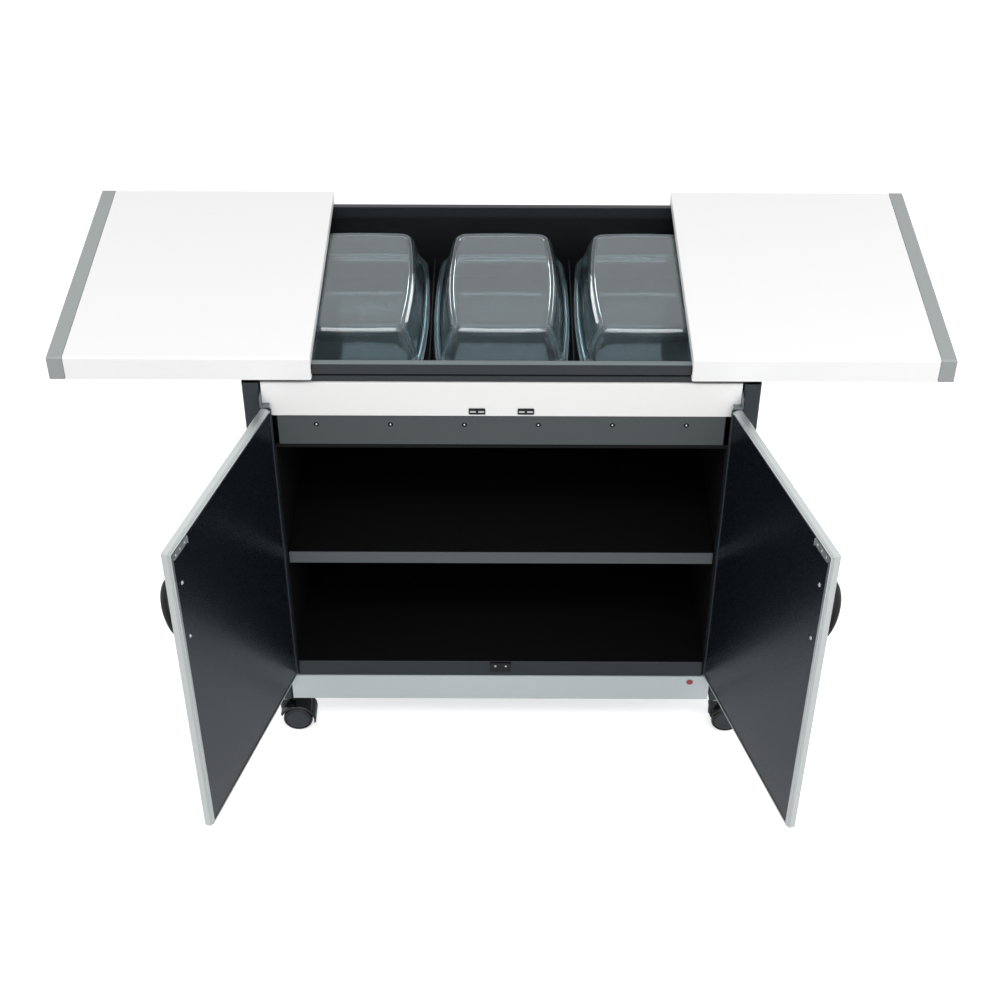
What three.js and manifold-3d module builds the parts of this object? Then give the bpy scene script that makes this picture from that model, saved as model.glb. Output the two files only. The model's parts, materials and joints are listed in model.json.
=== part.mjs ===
// Hostess trolley: a warming trolley with two sliding tops, three glass casseroles in a heated
// well, a cupboard with two hinged doors, and four twin-wheel castors.
//
// Millimetres, +Z up, X to the right, +Y from the front to the back. It stands on Z = 0. The pieces
// are laid out from the front of the posts (Y = 0), and the last lines move the whole trolley so
// that its outline, with the doors and tops open, is centred on the origin.
//
// The trolley is drawn as it stands open: tops slid out, doors swung forward.

import * as THREE from 'three'
import { mergeVertices } from 'three/addons/utils/BufferGeometryUtils.js'
import Module from 'manifold-3d'

const wasm = await Module()
wasm.setup()

// ---------------------------------------------------------------------------------------------
// Driving dimensions

// Clearances
const GAP = 0.3 // between pieces that rest against each other
const RUNNING_GAP = 0.35 // between a pin, stem or axle and its bore

// Frame
const BODY_WIDTH = 760 // over the posts
const BODY_DEPTH = 458 // over the posts
const POST_SIZE = 25
const POST_WALL = 1.5
const POST_CORNER = 3
const POST_HEIGHT = 663
const SHEET = 1.2 // thickness of every folded sheet
const FLANGE = 12 // how far the folded edges turn in
const SIDE_RECESS = 2 // side panels stand this far inside the posts' outer faces
const BACK_RECESS = 1

// Slide rails, on top of the posts
const RAIL_HEIGHT = 31.4
const RAIL_FACE = 4 // from the posts' front to the rail's front face
const RAIL_WIDTH = 9.8
const RAIL_WALL = 2
const RAIL_GROOVE_DEPTH = 4.5
const RAIL_CAP_HEIGHT = 8.2 // the part that also covers the posts
const TUB_LEDGE = 4.2 // how far the ledge for the tub stands out
const TUB_LEDGE_RISE = 12.7

// Sliding tops
const TOP_TRAVEL = 275.5
const TOP_OVERHANG = 8 // in front of and behind the posts
const BOARD_THICKNESS = 17.7
const SKIRT_HEIGHT = 38.7
const SKIRT_WALL = 4.5
const SKIRT_EDGE = 2.5 // chamfer along the top's long edges
const TONGUE_THICKNESS = 1.8
const TONGUE_PLAY = 0.8 // above, below and behind the tongue, in its groove
const MEETING_GAP = 0.6 // between the two tops when they are closed
const END_TRIM_WIDTH = 22.7
const END_TRIM_WALL = 2

// Well
const TUB_SIDE_SPACE = 8 // from the posts' inner faces to the tub's sides
const TUB_FLANGE = 4
const TUB_DRAFT = 4
const LID_CLEARANCE = 5.7 // from a lid's top to the rail's top
const ELEMENT_SPACE = 20 // under the tub

// Casseroles
const DISH_GAP = 7.5 // between neighbouring rims
const DISH_END_SPACE = 16.3 // from the outer rims to the tub's sides
const DISH_FRONT_SPACE = 55.7
const DISH_REAR_SPACE = 33.7
const DISH_HEIGHT = 67.7
const LID_HEIGHT = 58.7
const GLASS = 4.5
const RIM_THICKNESS = 7
const RIM_LIP = 2.5 // dish rim outside the lid's rim
const RIM_WIDTH = 7 // from the wall to the edge of the rim, at the sides
const END_GRIP = 12 // the same, at the two ends
const DISH_DRAFT = 11
const LID_DRAFT = 15.5
const SIDE_BOW = 9
const END_BOW = 3
const DIVIDER_HEIGHT = 66
const DIVIDER_FOOT = 10

// Front: fascia, inner rail, sill, base rail
const FASCIA_FACE = 1.5
const FASCIA_HEIGHT = 59.5
const INNER_FACE = 4
const INNER_RAIL_END = 22 // from a post to the end of the inner rail
const SILL_HEIGHT = 32.3
const BASE_RAIL_FACE = 2.3
const BASE_RAIL_HEIGHT = 54.4
const BASE_RAIL_RISE = 0 // above the bottom of the posts

// Cupboard
const LINER_SIDE_SPACE = 17 // from a post's inner face to the liner's inner face
const LINER_FACE = 6
const LINER_DEPTH = 440
const LINER_LIP = 5.6 // flange above the opening
const SHELF_RISE = 238 // from the floor to the shelf's top
const SHELF_FACE = 12
const SHELF_EDGE_HEIGHT = 22.7
const SHELF_REAR_SPACE = 3
const SHELF_SIDE_PLAY = 0.8
const SHELF_REAR_EDGE = 13 // how far the rear edge turns down
const LEDGE_WIDTH = 12

// Doors
const DOOR_THICKNESS = 14
const DOOR_OPEN = 107.2 // degrees from closed
const DOOR_CLEARANCE = 14.3 // above the base rail
const DOOR_OVERLAP = 22.2 // over the fascia
const DOOR_MEETING_GAP = 2
const PIN_FROM_POST = 10.7
const PIN_FROM_EDGE = 3.3
const PIN_FROM_FACE = 6 // from the door's inner face
const PIN_IN_FRONT = 7.6 // from the posts' front faces
const PIN_RADIUS = 2
const PIN_LENGTH = 13
const BRACKET = 2
const BRACKET_LEG = 20
const BRACKET_REACH = 25
const DOOR_TOP_PLAY = 0.5
const EDGING_WEB = 3.6
const EDGING_LIP = 1
const EDGING_OUTER_LIP = 6
const EDGING_INNER_LIP = 8.2 // along the door's two sides
const EDGING_TOP_LIP = 5.6 // along its top and bottom
const EDGING_STEPS = [[0.9, 4.2], [2.4, 2.4]] // inwards from the edge, and below the inner face
const HANDLE_CENTRES = 100.8
const HANDLE_REACH = 25
const HANDLE_FROM_EDGE = 23.6
const HANDLE_BELOW_TOP = 119.4
const HANDLE_THICKNESS = 11
const HANDLE_BREADTH = 14
const STRIKE_LENGTH = 41.4
const STRIKE_HEIGHT = 12
const STRIKE_THICKNESS = 1.2
const STRIKE_TAB = 3
const STRIKE_FROM_EDGE = 8.6
const STRIKE_BELOW_TOP = 6

// Catches
const CATCH_WIDTH = 24.4
const CATCH_HEIGHT = 10.6
const CATCH_FROM_CENTRE = 36.1
const CATCH_RIM = 2 // round the part of an upper catch that goes through the fascia
const CATCH_DEPTH = 12 // behind the fascia's face
const LOWER_CATCH_WIDTH = 34.8
const LOWER_CATCH_HEIGHT = 20
const CATCH_PROUD = 1.4 // of the fascia
const CATCH_RISE = 9 // from the fascia's lower edge to the middle of the catch
const POLE_WIDTH = 8.4
const POLE_HEIGHT = 2.8
const POLE_REACH = 0.5
const STUD_REACH = 1.3
const STUD_RADIUS = 2.5
const STUD_RISE = 3.4 // above the middle of the lower catch

// Electrical parts
const LENS_RADIUS = 5.6
const LENS_FROM_END = 32.9 // of the base rail
const LENS_ABOVE_RAIL = 41.8 // above the rail's lower edge
const ELEMENT_RADIUS = 3.3
const ELEMENT_MARGIN = 70
const ELEMENT_BEND = 34
const INLET_WIDTH = 27
const INLET_HEIGHT = 20
const INLET_FLANGE = 5
const INLET_DEPTH = 20
const INLET_FROM_POST = 105
const INLET_RISE = 14.8
const VENT_COUNT = 12
const VENT_WIDTH = 5
const VENT_HEIGHT = 40
const VENT_PITCH = 18
const VENT_DROP = 70 // from the posts' top to the top of the vents

// Castors
const WHEEL_RADIUS = 25
const CASTOR_WIDTH = 40
const CASTOR_TRAIL = 20
const CASTOR_HEIGHT = 70 // floor to the bottom of the post
const CASTOR_WEB = 5
const HOOD_WALL = 3.5
const HOOD_GAP = 2.5 // over the wheels
const AXLE_RADIUS = 3
const STEM_RADIUS = 5.5
const STEM_LENGTH = 28
const STEM_BOSS = 10
const COLLAR_RADIUS = 9.5
const COLLAR_HEIGHT = 4.5
const SWIVEL_GAP = 0.5 // under the post
const SOCKET_LENGTH = 34

// ---------------------------------------------------------------------------------------------
// Levels and lines that several pieces share

const halfWidth = BODY_WIDTH / 2
const postInner = halfWidth - POST_SIZE
const postBottom = CASTOR_HEIGHT
const postTop = postBottom + POST_HEIGHT
const rearPostFront = BODY_DEPTH - POST_SIZE
const frontWidth = postInner - BRACKET - 2 * GAP // half width of what stands between the brackets

const railBase = postTop + GAP
const railTop = railBase + RAIL_HEIGHT
const boardBottom = railTop + GAP
const boardTop = boardBottom + BOARD_THICKNESS
const skirtBottom = boardTop - SKIRT_HEIGHT
const grooveLow = skirtBottom - TONGUE_PLAY
const grooveHigh = skirtBottom + TONGUE_THICKNESS + TONGUE_PLAY
const topLength = halfWidth - MEETING_GAP / 2

const tubFront = RAIL_FACE + RAIL_WIDTH + GAP
const tubBack = BODY_DEPTH - tubFront
const tubFlangeBottom = railBase + TUB_LEDGE_RISE + GAP

const dishBase = railTop - LID_CLEARANCE - LID_HEIGHT - GAP - DISH_HEIGHT
const tubFloorTop = dishBase - GAP
const tubBottom = tubFloorTop - SHEET
const linerTop = tubBottom - ELEMENT_SPACE

const baseRailBottom = postBottom + BASE_RAIL_RISE
const baseRailTop = baseRailBottom + BASE_RAIL_HEIGHT
const panelBottom = baseRailTop + GAP
const fasciaTop = postTop - 0.7
const fasciaBottom = fasciaTop - FASCIA_HEIGHT
const sillTop = panelBottom + SILL_HEIGHT
const floorTop = sillTop - SHEET - GAP
const linerInner = postInner - LINER_SIDE_SPACE
const shelfTop = floorTop + SHELF_RISE
const doorBottom = baseRailTop + DOOR_CLEARANCE
const doorTop = fasciaBottom + DOOR_OVERLAP

const tubHalfWidth = postInner - TUB_SIDE_SPACE - SHEET
const dishSpan = tubHalfWidth - TUB_DRAFT - DISH_END_SPACE
const rimHalfWidth = (2 * dishSpan - 2 * DISH_GAP) / 6
const dishPitch = 2 * rimHalfWidth + DISH_GAP
const rimFront = tubFront + TUB_FLANGE + SHEET + DISH_FRONT_SPACE
const rimBack = tubBack - TUB_FLANGE - SHEET - DISH_REAR_SPACE
const rimHalfLength = (rimBack - rimFront) / 2
const dishMiddle = (rimBack + rimFront) / 2

const pinX = postInner - PIN_FROM_POST
const pinY = -PIN_IN_FRONT
const doorWidth = pinX + PIN_FROM_EDGE - DOOR_MEETING_GAP / 2
const doorHeight = doorTop - doorBottom
const catchFront = FASCIA_FACE - CATCH_PROUD
const catchHeight = fasciaBottom + CATCH_RISE
const lensX = frontWidth - LENS_FROM_END
const inletX = postInner - INLET_FROM_POST

// ---------------------------------------------------------------------------------------------
// Finishes

const finish = (color, roughness, metalness, extra = {}) =>
  new THREE.MeshStandardMaterial({ color, roughness, metalness, ...extra })

const finishes = {
  whitePaint: () => finish('#f2f2f0', 0.35, 0),
  slatePaint: () => finish('#3b4345', 0.45, 0.2),
  greyPaint: () => finish('#4f5658', 0.5, 0.2),
  blackEnamel: () => finish('#0b0b0c', 0.5, 0.1),
  sillPaint: () => finish('#2c343c', 0.45, 0.1),
  doorLining: () => finish('#1b1f24', 0.4, 0.1),
  aluminium: () => finish('#c8d0d0', 0.35, 0.9),
  greyTrim: () => finish('#8f9494', 0.4, 0.5),
  steel: () => finish('#b8bcbe', 0.3, 0.9),
  blackPlastic: () => finish('#141516', 0.4, 0),
  rubber: () => finish('#1a1a1b', 0.8, 0),
  glass: () => finish('#a9bcc0', 0.05, 0, { transparent: true, opacity: 0.35 }),
  redLens: () => finish('#a0303a', 0.2, 0),
}

// ---------------------------------------------------------------------------------------------
// Making solids

// A closed mesh as a solid that can be cut and joined
function solidOf(geometry) {
  const bare = new THREE.BufferGeometry()
  bare.setAttribute('position', geometry.getAttribute('position').clone())
  if (geometry.index) bare.setIndex(geometry.index.clone())
  const merged = mergeVertices(bare, 1e-4)
  return new wasm.Manifold(
    new wasm.Mesh({
      numProp: 3,
      vertProperties: new Float32Array(merged.getAttribute('position').array),
      triVerts: new Uint32Array(merged.index.array),
    }),
  )
}

function geometryOf(solid) {
  const mesh = solid.getMesh()
  const geometry = new THREE.BufferGeometry()
  geometry.setAttribute('position', new THREE.BufferAttribute(mesh.vertProperties, 3))
  geometry.setIndex(new THREE.BufferAttribute(mesh.triVerts, 1))
  geometry.computeVertexNormals()
  return geometry
}

function join(...geometries) {
  const solids = geometries.map(solidOf)
  return geometryOf(solids.reduce((whole, next) => whole.add(next)))
}

function cut(geometry, ...tools) {
  return geometryOf(tools.reduce((left, tool) => left.subtract(solidOf(tool)), solidOf(geometry)))
}

// A box between two opposite corners
function block([x0, y0, z0], [x1, y1, z1]) {
  const box = new THREE.BoxGeometry(x1 - x0, y1 - y0, z1 - z0)
  return box.translate((x0 + x1) / 2, (y0 + y1) / 2, (z0 + z1) / 2)
}

function outline(points) {
  return new THREE.Shape(points.map(([x, y]) => new THREE.Vector2(x, y)))
}

// Extrudes a shape. Along X the shape's axes are Y and Z, along Y they are X and Z.
const prismFrames = {
  x: new THREE.Matrix4().makeBasis(
    new THREE.Vector3(0, 1, 0), new THREE.Vector3(0, 0, 1), new THREE.Vector3(1, 0, 0)),
  y: new THREE.Matrix4().makeBasis(
    new THREE.Vector3(1, 0, 0), new THREE.Vector3(0, 0, 1), new THREE.Vector3(0, -1, 0)),
  z: new THREE.Matrix4(),
}

function prism(axis, shape, from, to, curveSegments = 6) {
  const geometry = new THREE.ExtrudeGeometry(shape, {
    depth: to - from, steps: 1, bevelEnabled: false, curveSegments,
  })
  geometry.translate(0, 0, axis === 'y' ? -to : from)
  return geometry.applyMatrix4(prismFrames[axis])
}

function roundedRectangle(halfX, halfY, radius) {
  const shape = new THREE.Shape()
  shape.moveTo(halfX, -halfY + radius)
  shape.absarc(halfX - radius, halfY - radius, radius, 0, Math.PI / 2)
  shape.absarc(-halfX + radius, halfY - radius, radius, Math.PI / 2, Math.PI)
  shape.absarc(-halfX + radius, -halfY + radius, radius, Math.PI, Math.PI * 1.5)
  shape.absarc(halfX - radius, -halfY + radius, radius, Math.PI * 1.5, Math.PI * 2)
  return shape
}

// An upright cylinder between two heights
function rod(x, y, z0, z1, radius, sides = 16) {
  const cylinder = new THREE.CylinderGeometry(radius, radius, z1 - z0, sides)
  return cylinder.rotateX(Math.PI / 2).translate(x, y, (z0 + z1) / 2)
}

// A revolved profile of [radius, along] points, turned so that it runs along +Y
function turnedAlongY(profile, sides) {
  const lathe = new THREE.LatheGeometry(profile.map(([r, y]) => new THREE.Vector2(r, y)), sides)
  return lathe
}

// A skin over rings of points that all have the same count, closed at both ends by a fan
function skin(rings) {
  const count = rings[0].length
  const positions = rings.flat(2)
  const faces = []
  const at = (ring, i) => ring * count + (i % count)
  for (let ring = 0; ring + 1 < rings.length; ring++) {
    for (let i = 0; i < count; i++) {
      faces.push(at(ring, i), at(ring, i + 1), at(ring + 1, i + 1))
      faces.push(at(ring, i), at(ring + 1, i + 1), at(ring + 1, i))
    }
  }
  const centres = [rings[0], rings[rings.length - 1]].map((ring) => {
    const sum = ring.reduce((s, p) => [s[0] + p[0], s[1] + p[1], s[2] + p[2]], [0, 0, 0])
    positions.push(...sum.map((v) => v / count))
    return positions.length / 3 - 1
  })
  const last = rings.length - 1
  for (let i = 0; i < count; i++) {
    faces.push(centres[0], at(0, i + 1), at(0, i))
    faces.push(centres[1], at(last, i), at(last, i + 1))
  }
  const geometry = new THREE.BufferGeometry()
  geometry.setAttribute('position', new THREE.Float32BufferAttribute(positions, 3))
  geometry.setIndex(faces)
  geometry.computeVertexNormals()
  return geometry
}

// The other hand of a piece
function mirrored(geometry) {
  const other = geometry.index ? geometry.clone() : mergeVertices(geometry.clone())
  other.scale(-1, 1, 1)
  const index = other.index.array
  for (let i = 0; i < index.length; i += 3) [index[i + 1], index[i + 2]] = [index[i + 2], index[i + 1]]
  other.computeVertexNormals()
  return other
}

// ---------------------------------------------------------------------------------------------
// The trolley, piece by piece

const trolley = new THREE.Group()

function piece(name, geometry, material, parent = trolley) {
  const mesh = new THREE.Mesh(geometry, material)
  mesh.name = name
  parent.add(mesh)
  return mesh
}

// A piece and its other hand
function pair(name, geometry, materialOf, parents = [trolley, trolley]) {
  piece(`${name}_right`, geometry, materialOf(), parents[0])
  piece(`${name}_left`, mirrored(geometry), materialOf(), parents[1])
}

// Square tube with the castor's socket pressed into its foot
function post(x, y) {
  const half = POST_SIZE / 2
  const tube = roundedRectangle(half, half, POST_CORNER)
  tube.holes.push(roundedRectangle(half - POST_WALL, half - POST_WALL, POST_CORNER - POST_WALL))
  const wall = prism('z', tube, postBottom, postTop, 2)
  const plug = prism('z', roundedRectangle(half - POST_WALL / 2, half - POST_WALL / 2, POST_CORNER / 2),
    postBottom, postBottom + SOCKET_LENGTH, 2)
  const bore = rod(0, 0, postBottom - 1, postBottom + SOCKET_LENGTH + 1, STEM_RADIUS + RUNNING_GAP)
  return cut(join(wall, plug), bore).translate(x, y, 0)
}

const postX = halfWidth - POST_SIZE / 2
const postRows = { front: POST_SIZE / 2, rear: BODY_DEPTH - POST_SIZE / 2 }
for (const [row, y] of Object.entries(postRows)) {
  piece(`post_${row}_right`, post(postX, y), finishes.slatePaint())
  piece(`post_${row}_left`, post(-postX, y), finishes.slatePaint())
}

// Slide rail: a hollow section with a groove for the tops' tongues and a ledge for the tub. Its foot
// runs on over the posts, and the rest stops between them, where it stops the closed tops.
function slideRail() {
  const back = RAIL_FACE + RAIL_WIDTH
  const ledge = back + TUB_LEDGE
  const ledgeTop = railBase + TUB_LEDGE_RISE
  const capTop = railBase + RAIL_CAP_HEIGHT
  const grooveFloor = RAIL_FACE + RAIL_GROOVE_DEPTH
  const profile = outline([
    [RAIL_FACE, railBase], [back, railBase], [back, ledgeTop - RAIL_WALL],
    [ledge, ledgeTop - RAIL_WALL], [ledge, ledgeTop], [back, ledgeTop], [back, railTop],
    [RAIL_FACE, railTop], [RAIL_FACE, grooveHigh], [grooveFloor, grooveHigh],
    [grooveFloor, grooveLow], [RAIL_FACE, grooveLow],
  ])
  profile.holes.push(outline([
    [RAIL_FACE + RAIL_WALL, grooveHigh + RAIL_WALL], [back - RAIL_WALL, grooveHigh + RAIL_WALL],
    [back - RAIL_WALL, railTop - RAIL_WALL], [RAIL_FACE + RAIL_WALL, railTop - RAIL_WALL],
  ]))
  const foot = block([-halfWidth, RAIL_FACE, railBase], [halfWidth, back, capTop])
  return join(prism('x', profile, -postInner, postInner), foot)
}

const turnedRound = (geometry) => geometry.rotateZ(Math.PI).translate(0, BODY_DEPTH, 0)

piece('front_slide_rail', slideRail(), finishes.slatePaint())
piece('rear_slide_rail', turnedRound(slideRail()), finishes.slatePaint())

// A C section of folded sheet: a face between two heights, with both edges turned back
function foldedStrip(face, back, low, high, lowTurn, highTurn = lowTurn) {
  const sheet = Math.sign(back - face) * SHEET
  const turnLow = face + Math.sign(back - face) * lowTurn
  const turnHigh = face + Math.sign(back - face) * highTurn
  return outline([
    [face, low], [turnLow, low], [turnLow, low + SHEET], [face + sheet, low + SHEET],
    [face + sheet, high - SHEET], [turnHigh, high - SHEET], [turnHigh, high], [face, high],
  ])
}

// The part of an upper catch that goes through the fascia
function catchCore(clearance, from, to) {
  const halfX = CATCH_WIDTH / 2 - CATCH_RIM + clearance
  const halfZ = CATCH_HEIGHT / 2 - CATCH_RIM + clearance
  return block([-halfX, from, -halfZ], [halfX, to, halfZ])
}

function fascia() {
  const section = foldedStrip(FASCIA_FACE, BODY_DEPTH, fasciaBottom, fasciaTop, FLANGE - 4, FLANGE)
  const slot = (hand) => catchCore(GAP, FASCIA_FACE - 1, FASCIA_FACE + SHEET + 1)
    .translate(hand * CATCH_FROM_CENTRE, 0, catchHeight)
  return cut(prism('x', section, -frontWidth, frontWidth), slot(1), slot(-1))
}

function cupboardInnerRail() {
  const low = linerTop + SHEET + LINER_LIP
  const section = foldedStrip(INNER_FACE, BODY_DEPTH, low, fasciaBottom - 1, FLANGE - 4)
  const half = postInner - INNER_RAIL_END
  return prism('x', section, -half, half)
}

// Sill: a flat strip over the liner's flange, its top edge eased
function cupboardSill() {
  const back = LINER_FACE - GAP
  const ease = 0.6
  const section = outline([
    [INNER_FACE, panelBottom], [back, panelBottom], [back, sillTop],
    [INNER_FACE + ease, sillTop], [INNER_FACE, sillTop - ease],
  ])
  return prism('x', section, -linerInner + GAP, linerInner - GAP)
}

function frontBaseRail() {
  const section = foldedStrip(BASE_RAIL_FACE, BODY_DEPTH, baseRailBottom, baseRailTop, FLANGE)
  const rail = prism('x', section, -frontWidth, frontWidth)
  const hole = new THREE.CylinderGeometry(LENS_RADIUS - 1, LENS_RADIUS - 1, 3 * FLANGE, 16)
  return cut(rail, hole.translate(lensX, 0, baseRailBottom + LENS_ABOVE_RAIL))
}

piece('front_fascia', fascia(), finishes.whitePaint())
piece('cupboard_inner_rail', cupboardInnerRail(), finishes.greyPaint())
piece('cupboard_sill', cupboardSill(), finishes.sillPaint())
piece('front_base_rail', frontBaseRail(), finishes.aluminium())

// Side panels: sheet between the front and rear posts, with its upper and lower edges turned in
function sidePanel() {
  const face = halfWidth - SIDE_RECESS
  const section = foldedStrip(face, 0, panelBottom, postTop, FLANGE)
  return prism('y', section, POST_SIZE + GAP, rearPostFront - GAP)
}

function backPanel() {
  const face = BODY_DEPTH - BACK_RECESS
  const section = foldedStrip(face, 0, panelBottom, postTop, FLANGE)
  const sheet = prism('x', section, -postInner + GAP, postInner - GAP)
  const z = panelBottom + INLET_RISE
  const halfX = INLET_WIDTH / 2 + GAP
  const halfZ = INLET_HEIGHT / 2 + GAP
  const inletHole = block([inletX - halfX, face - 5, z - halfZ], [inletX + halfX, face + 5, z + halfZ])
  const vents = Array.from({ length: VENT_COUNT }, (_, i) => {
    const x = (i - (VENT_COUNT - 1) / 2) * VENT_PITCH
    const top = postTop - VENT_DROP
    return block([x - VENT_WIDTH / 2, face - 5, top - VENT_HEIGHT], [x + VENT_WIDTH / 2, face + 5, top])
  })
  return cut(sheet, inletHole, ...vents)
}

pair('side_panel', sidePanel(), finishes.whitePaint)
piece('back_panel', backPanel(), finishes.whitePaint())

// Base tray: a pan under the cupboard, notched at its corners round the posts
function baseTray() {
  const plan = (inset) => {
    const wide = halfWidth - SIDE_RECESS - inset
    const narrow = postInner - GAP - inset
    const front = BASE_RAIL_FACE + FLANGE + GAP + inset
    const shoulder = POST_SIZE + GAP + inset
    const rear = BODY_DEPTH - BACK_RECESS - inset
    const rearShoulder = rearPostFront - GAP - inset
    return outline([
      [-narrow, front], [narrow, front], [narrow, shoulder], [wide, shoulder], [wide, rearShoulder],
      [narrow, rearShoulder], [narrow, rear], [-narrow, rear], [-narrow, rearShoulder],
      [-wide, rearShoulder], [-wide, shoulder], [-narrow, shoulder],
    ])
  }
  return cut(prism('z', plan(0), baseRailBottom, baseRailTop),
    prism('z', plan(SHEET), baseRailBottom + SHEET, baseRailTop + 1))
}

piece('base_tray', baseTray(), finishes.aluminium())

// Cupboard liner: an open-fronted box with a flange round the opening and ledges for the shelf
function cupboardLiner() {
  const back = LINER_FACE + LINER_DEPTH
  const outer = block([-linerInner - SHEET, LINER_FACE, floorTop - SHEET],
    [linerInner + SHEET, back + SHEET, linerTop])
  const flange = block([-frontWidth, LINER_FACE, panelBottom],
    [frontWidth, LINER_FACE + SHEET, linerTop + LINER_LIP])
  const inside = block([-linerInner, LINER_FACE - 1, floorTop], [linerInner, back, linerTop - SHEET])
  const shell = cut(join(outer, flange), inside)
  const ledgeTop = shelfTop - SHEET - GAP
  const ledge = (side) => {
    const edges = [side * (linerInner - LEDGE_WIDTH), side * (linerInner + SHEET / 2)].sort((a, b) => a - b)
    return block([edges[0], SHELF_FACE + FLANGE + 4, ledgeTop - 2 * SHEET], [edges[1], back - 8, ledgeTop])
  }
  return join(shell, ledge(1), ledge(-1))
}

// Shelf: sheet with a deep hemmed front edge and a shallower one turned down at the back
function cupboardShelf() {
  const low = shelfTop - SHELF_EDGE_HEIGHT
  const back = LINER_FACE + LINER_DEPTH - SHELF_REAR_SPACE
  const section = outline([
    [SHELF_FACE, low], [SHELF_FACE + FLANGE, low], [SHELF_FACE + FLANGE, low + SHEET],
    [SHELF_FACE + SHEET, low + SHEET], [SHELF_FACE + SHEET, shelfTop - SHEET],
    [back - SHEET, shelfTop - SHEET], [back - SHEET, shelfTop - SHELF_REAR_EDGE],
    [back, shelfTop - SHELF_REAR_EDGE], [back, shelfTop], [SHELF_FACE, shelfTop],
  ])
  const half = linerInner - SHELF_SIDE_PLAY
  return prism('x', section, -half, half)
}

piece('cupboard_liner', cupboardLiner(), finishes.blackEnamel())
piece('cupboard_shelf', cupboardShelf(), finishes.greyPaint())

// ---------------------------------------------------------------------------------------------
// The warming well

// Tub: a drawn pan whose flange rests on the ledges of both slide rails
function warmingTub() {
  const front = tubFront + TUB_FLANGE
  const back = tubBack - TUB_FLANGE
  const corner = 18
  const ring = (halfX, y0, y1, radius, z) => {
    const shape = roundedRectangle(halfX, (y1 - y0) / 2, radius)
    const points = shape.extractPoints(4).shape
    if (points[0].distanceTo(points[points.length - 1]) < 1e-6) points.pop()
    return points.map((p) => [p.x, p.y + (y0 + y1) / 2, z])
  }
  const flangeTop = tubFlangeBottom + SHEET
  return skin([
    ring(tubHalfWidth - TUB_DRAFT, front + TUB_DRAFT, back - TUB_DRAFT, corner, tubBottom),
    ring(tubHalfWidth, front, back, corner, tubFlangeBottom),
    ring(postInner - GAP, tubFront, tubBack, 2, tubFlangeBottom),
    ring(postInner - GAP, tubFront, tubBack, 2, flangeTop),
    ring(tubHalfWidth - SHEET, front + SHEET, back - SHEET, corner - SHEET, flangeTop),
    ring(tubHalfWidth - TUB_DRAFT - SHEET, front + TUB_DRAFT + SHEET, back - TUB_DRAFT - SHEET,
      corner - SHEET, tubFloorTop),
  ])
}

// Dividers: angles that stand between the dishes
function dishDivider() {
  const x = dishPitch / 2
  const section = outline([
    [x - SHEET / 2, dishBase], [x + DIVIDER_FOOT, dishBase], [x + DIVIDER_FOOT, dishBase + SHEET],
    [x + SHEET / 2, dishBase + SHEET], [x + SHEET / 2, dishBase + DIVIDER_HEIGHT],
    [x - SHEET / 2, dishBase + DIVIDER_HEIGHT],
  ])
  return prism('y', section, rimFront + END_GRIP, rimBack - END_GRIP)
}

// Heating element: a sheathed rod in one flat loop under the tub, its two ends side by side
function heatingElement() {
  const z = tubBottom - GAP - ELEMENT_RADIUS
  const right = tubHalfWidth - TUB_DRAFT - ELEMENT_MARGIN
  const front = tubFront + ELEMENT_MARGIN
  const back = tubBack - ELEMENT_MARGIN
  const ends = ELEMENT_BEND
  const at = (x, y) => new THREE.Vector3(x, y, z)
  const path = new THREE.CurvePath()
  const bend = (from, corner, to) => path.add(new THREE.QuadraticBezierCurve3(from, corner, to))
  const run = (from, to) => path.add(new THREE.LineCurve3(from, to))
  run(at(-ends, back), at(-right + ELEMENT_BEND, back))
  bend(at(-right + ELEMENT_BEND, back), at(-right, back), at(-right, back - ELEMENT_BEND))
  run(at(-right, back - ELEMENT_BEND), at(-right, front + ELEMENT_BEND))
  bend(at(-right, front + ELEMENT_BEND), at(-right, front), at(-right + ELEMENT_BEND, front))
  run(at(-right + ELEMENT_BEND, front), at(right - ELEMENT_BEND, front))
  bend(at(right - ELEMENT_BEND, front), at(right, front), at(right, front + ELEMENT_BEND))
  run(at(right, front + ELEMENT_BEND), at(right, back - ELEMENT_BEND))
  bend(at(right, back - ELEMENT_BEND), at(right, back), at(right - ELEMENT_BEND, back))
  run(at(right - ELEMENT_BEND, back), at(ends, back))
  const section = new THREE.Shape()
  section.absarc(0, 0, ELEMENT_RADIUS, 0, Math.PI * 2)
  return new THREE.ExtrudeGeometry(section, { steps: 56, curveSegments: 4, extrudePath: path })
}

// Thermostat: a disc bimetal switch, its flange flat under the tub
function thermostat() {
  const z = tubBottom - GAP
  const profile = [[0, -9], [7.5, -9], [8, -8.5], [8, -1.2], [12, -1.2], [12, 0], [0, 0]]
  const body = turnedAlongY(profile, 16).rotateX(Math.PI / 2)
  return body.translate(0, (tubFront + tubBack) / 2, z)
}

piece('warming_tub', warmingTub(), finishes.blackEnamel())
pair('dish_divider', dishDivider(), finishes.blackEnamel)
piece('heating_element', heatingElement(), finishes.steel())
piece('thermostat', thermostat(), finishes.blackPlastic())

// ---------------------------------------------------------------------------------------------
// Casseroles

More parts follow.
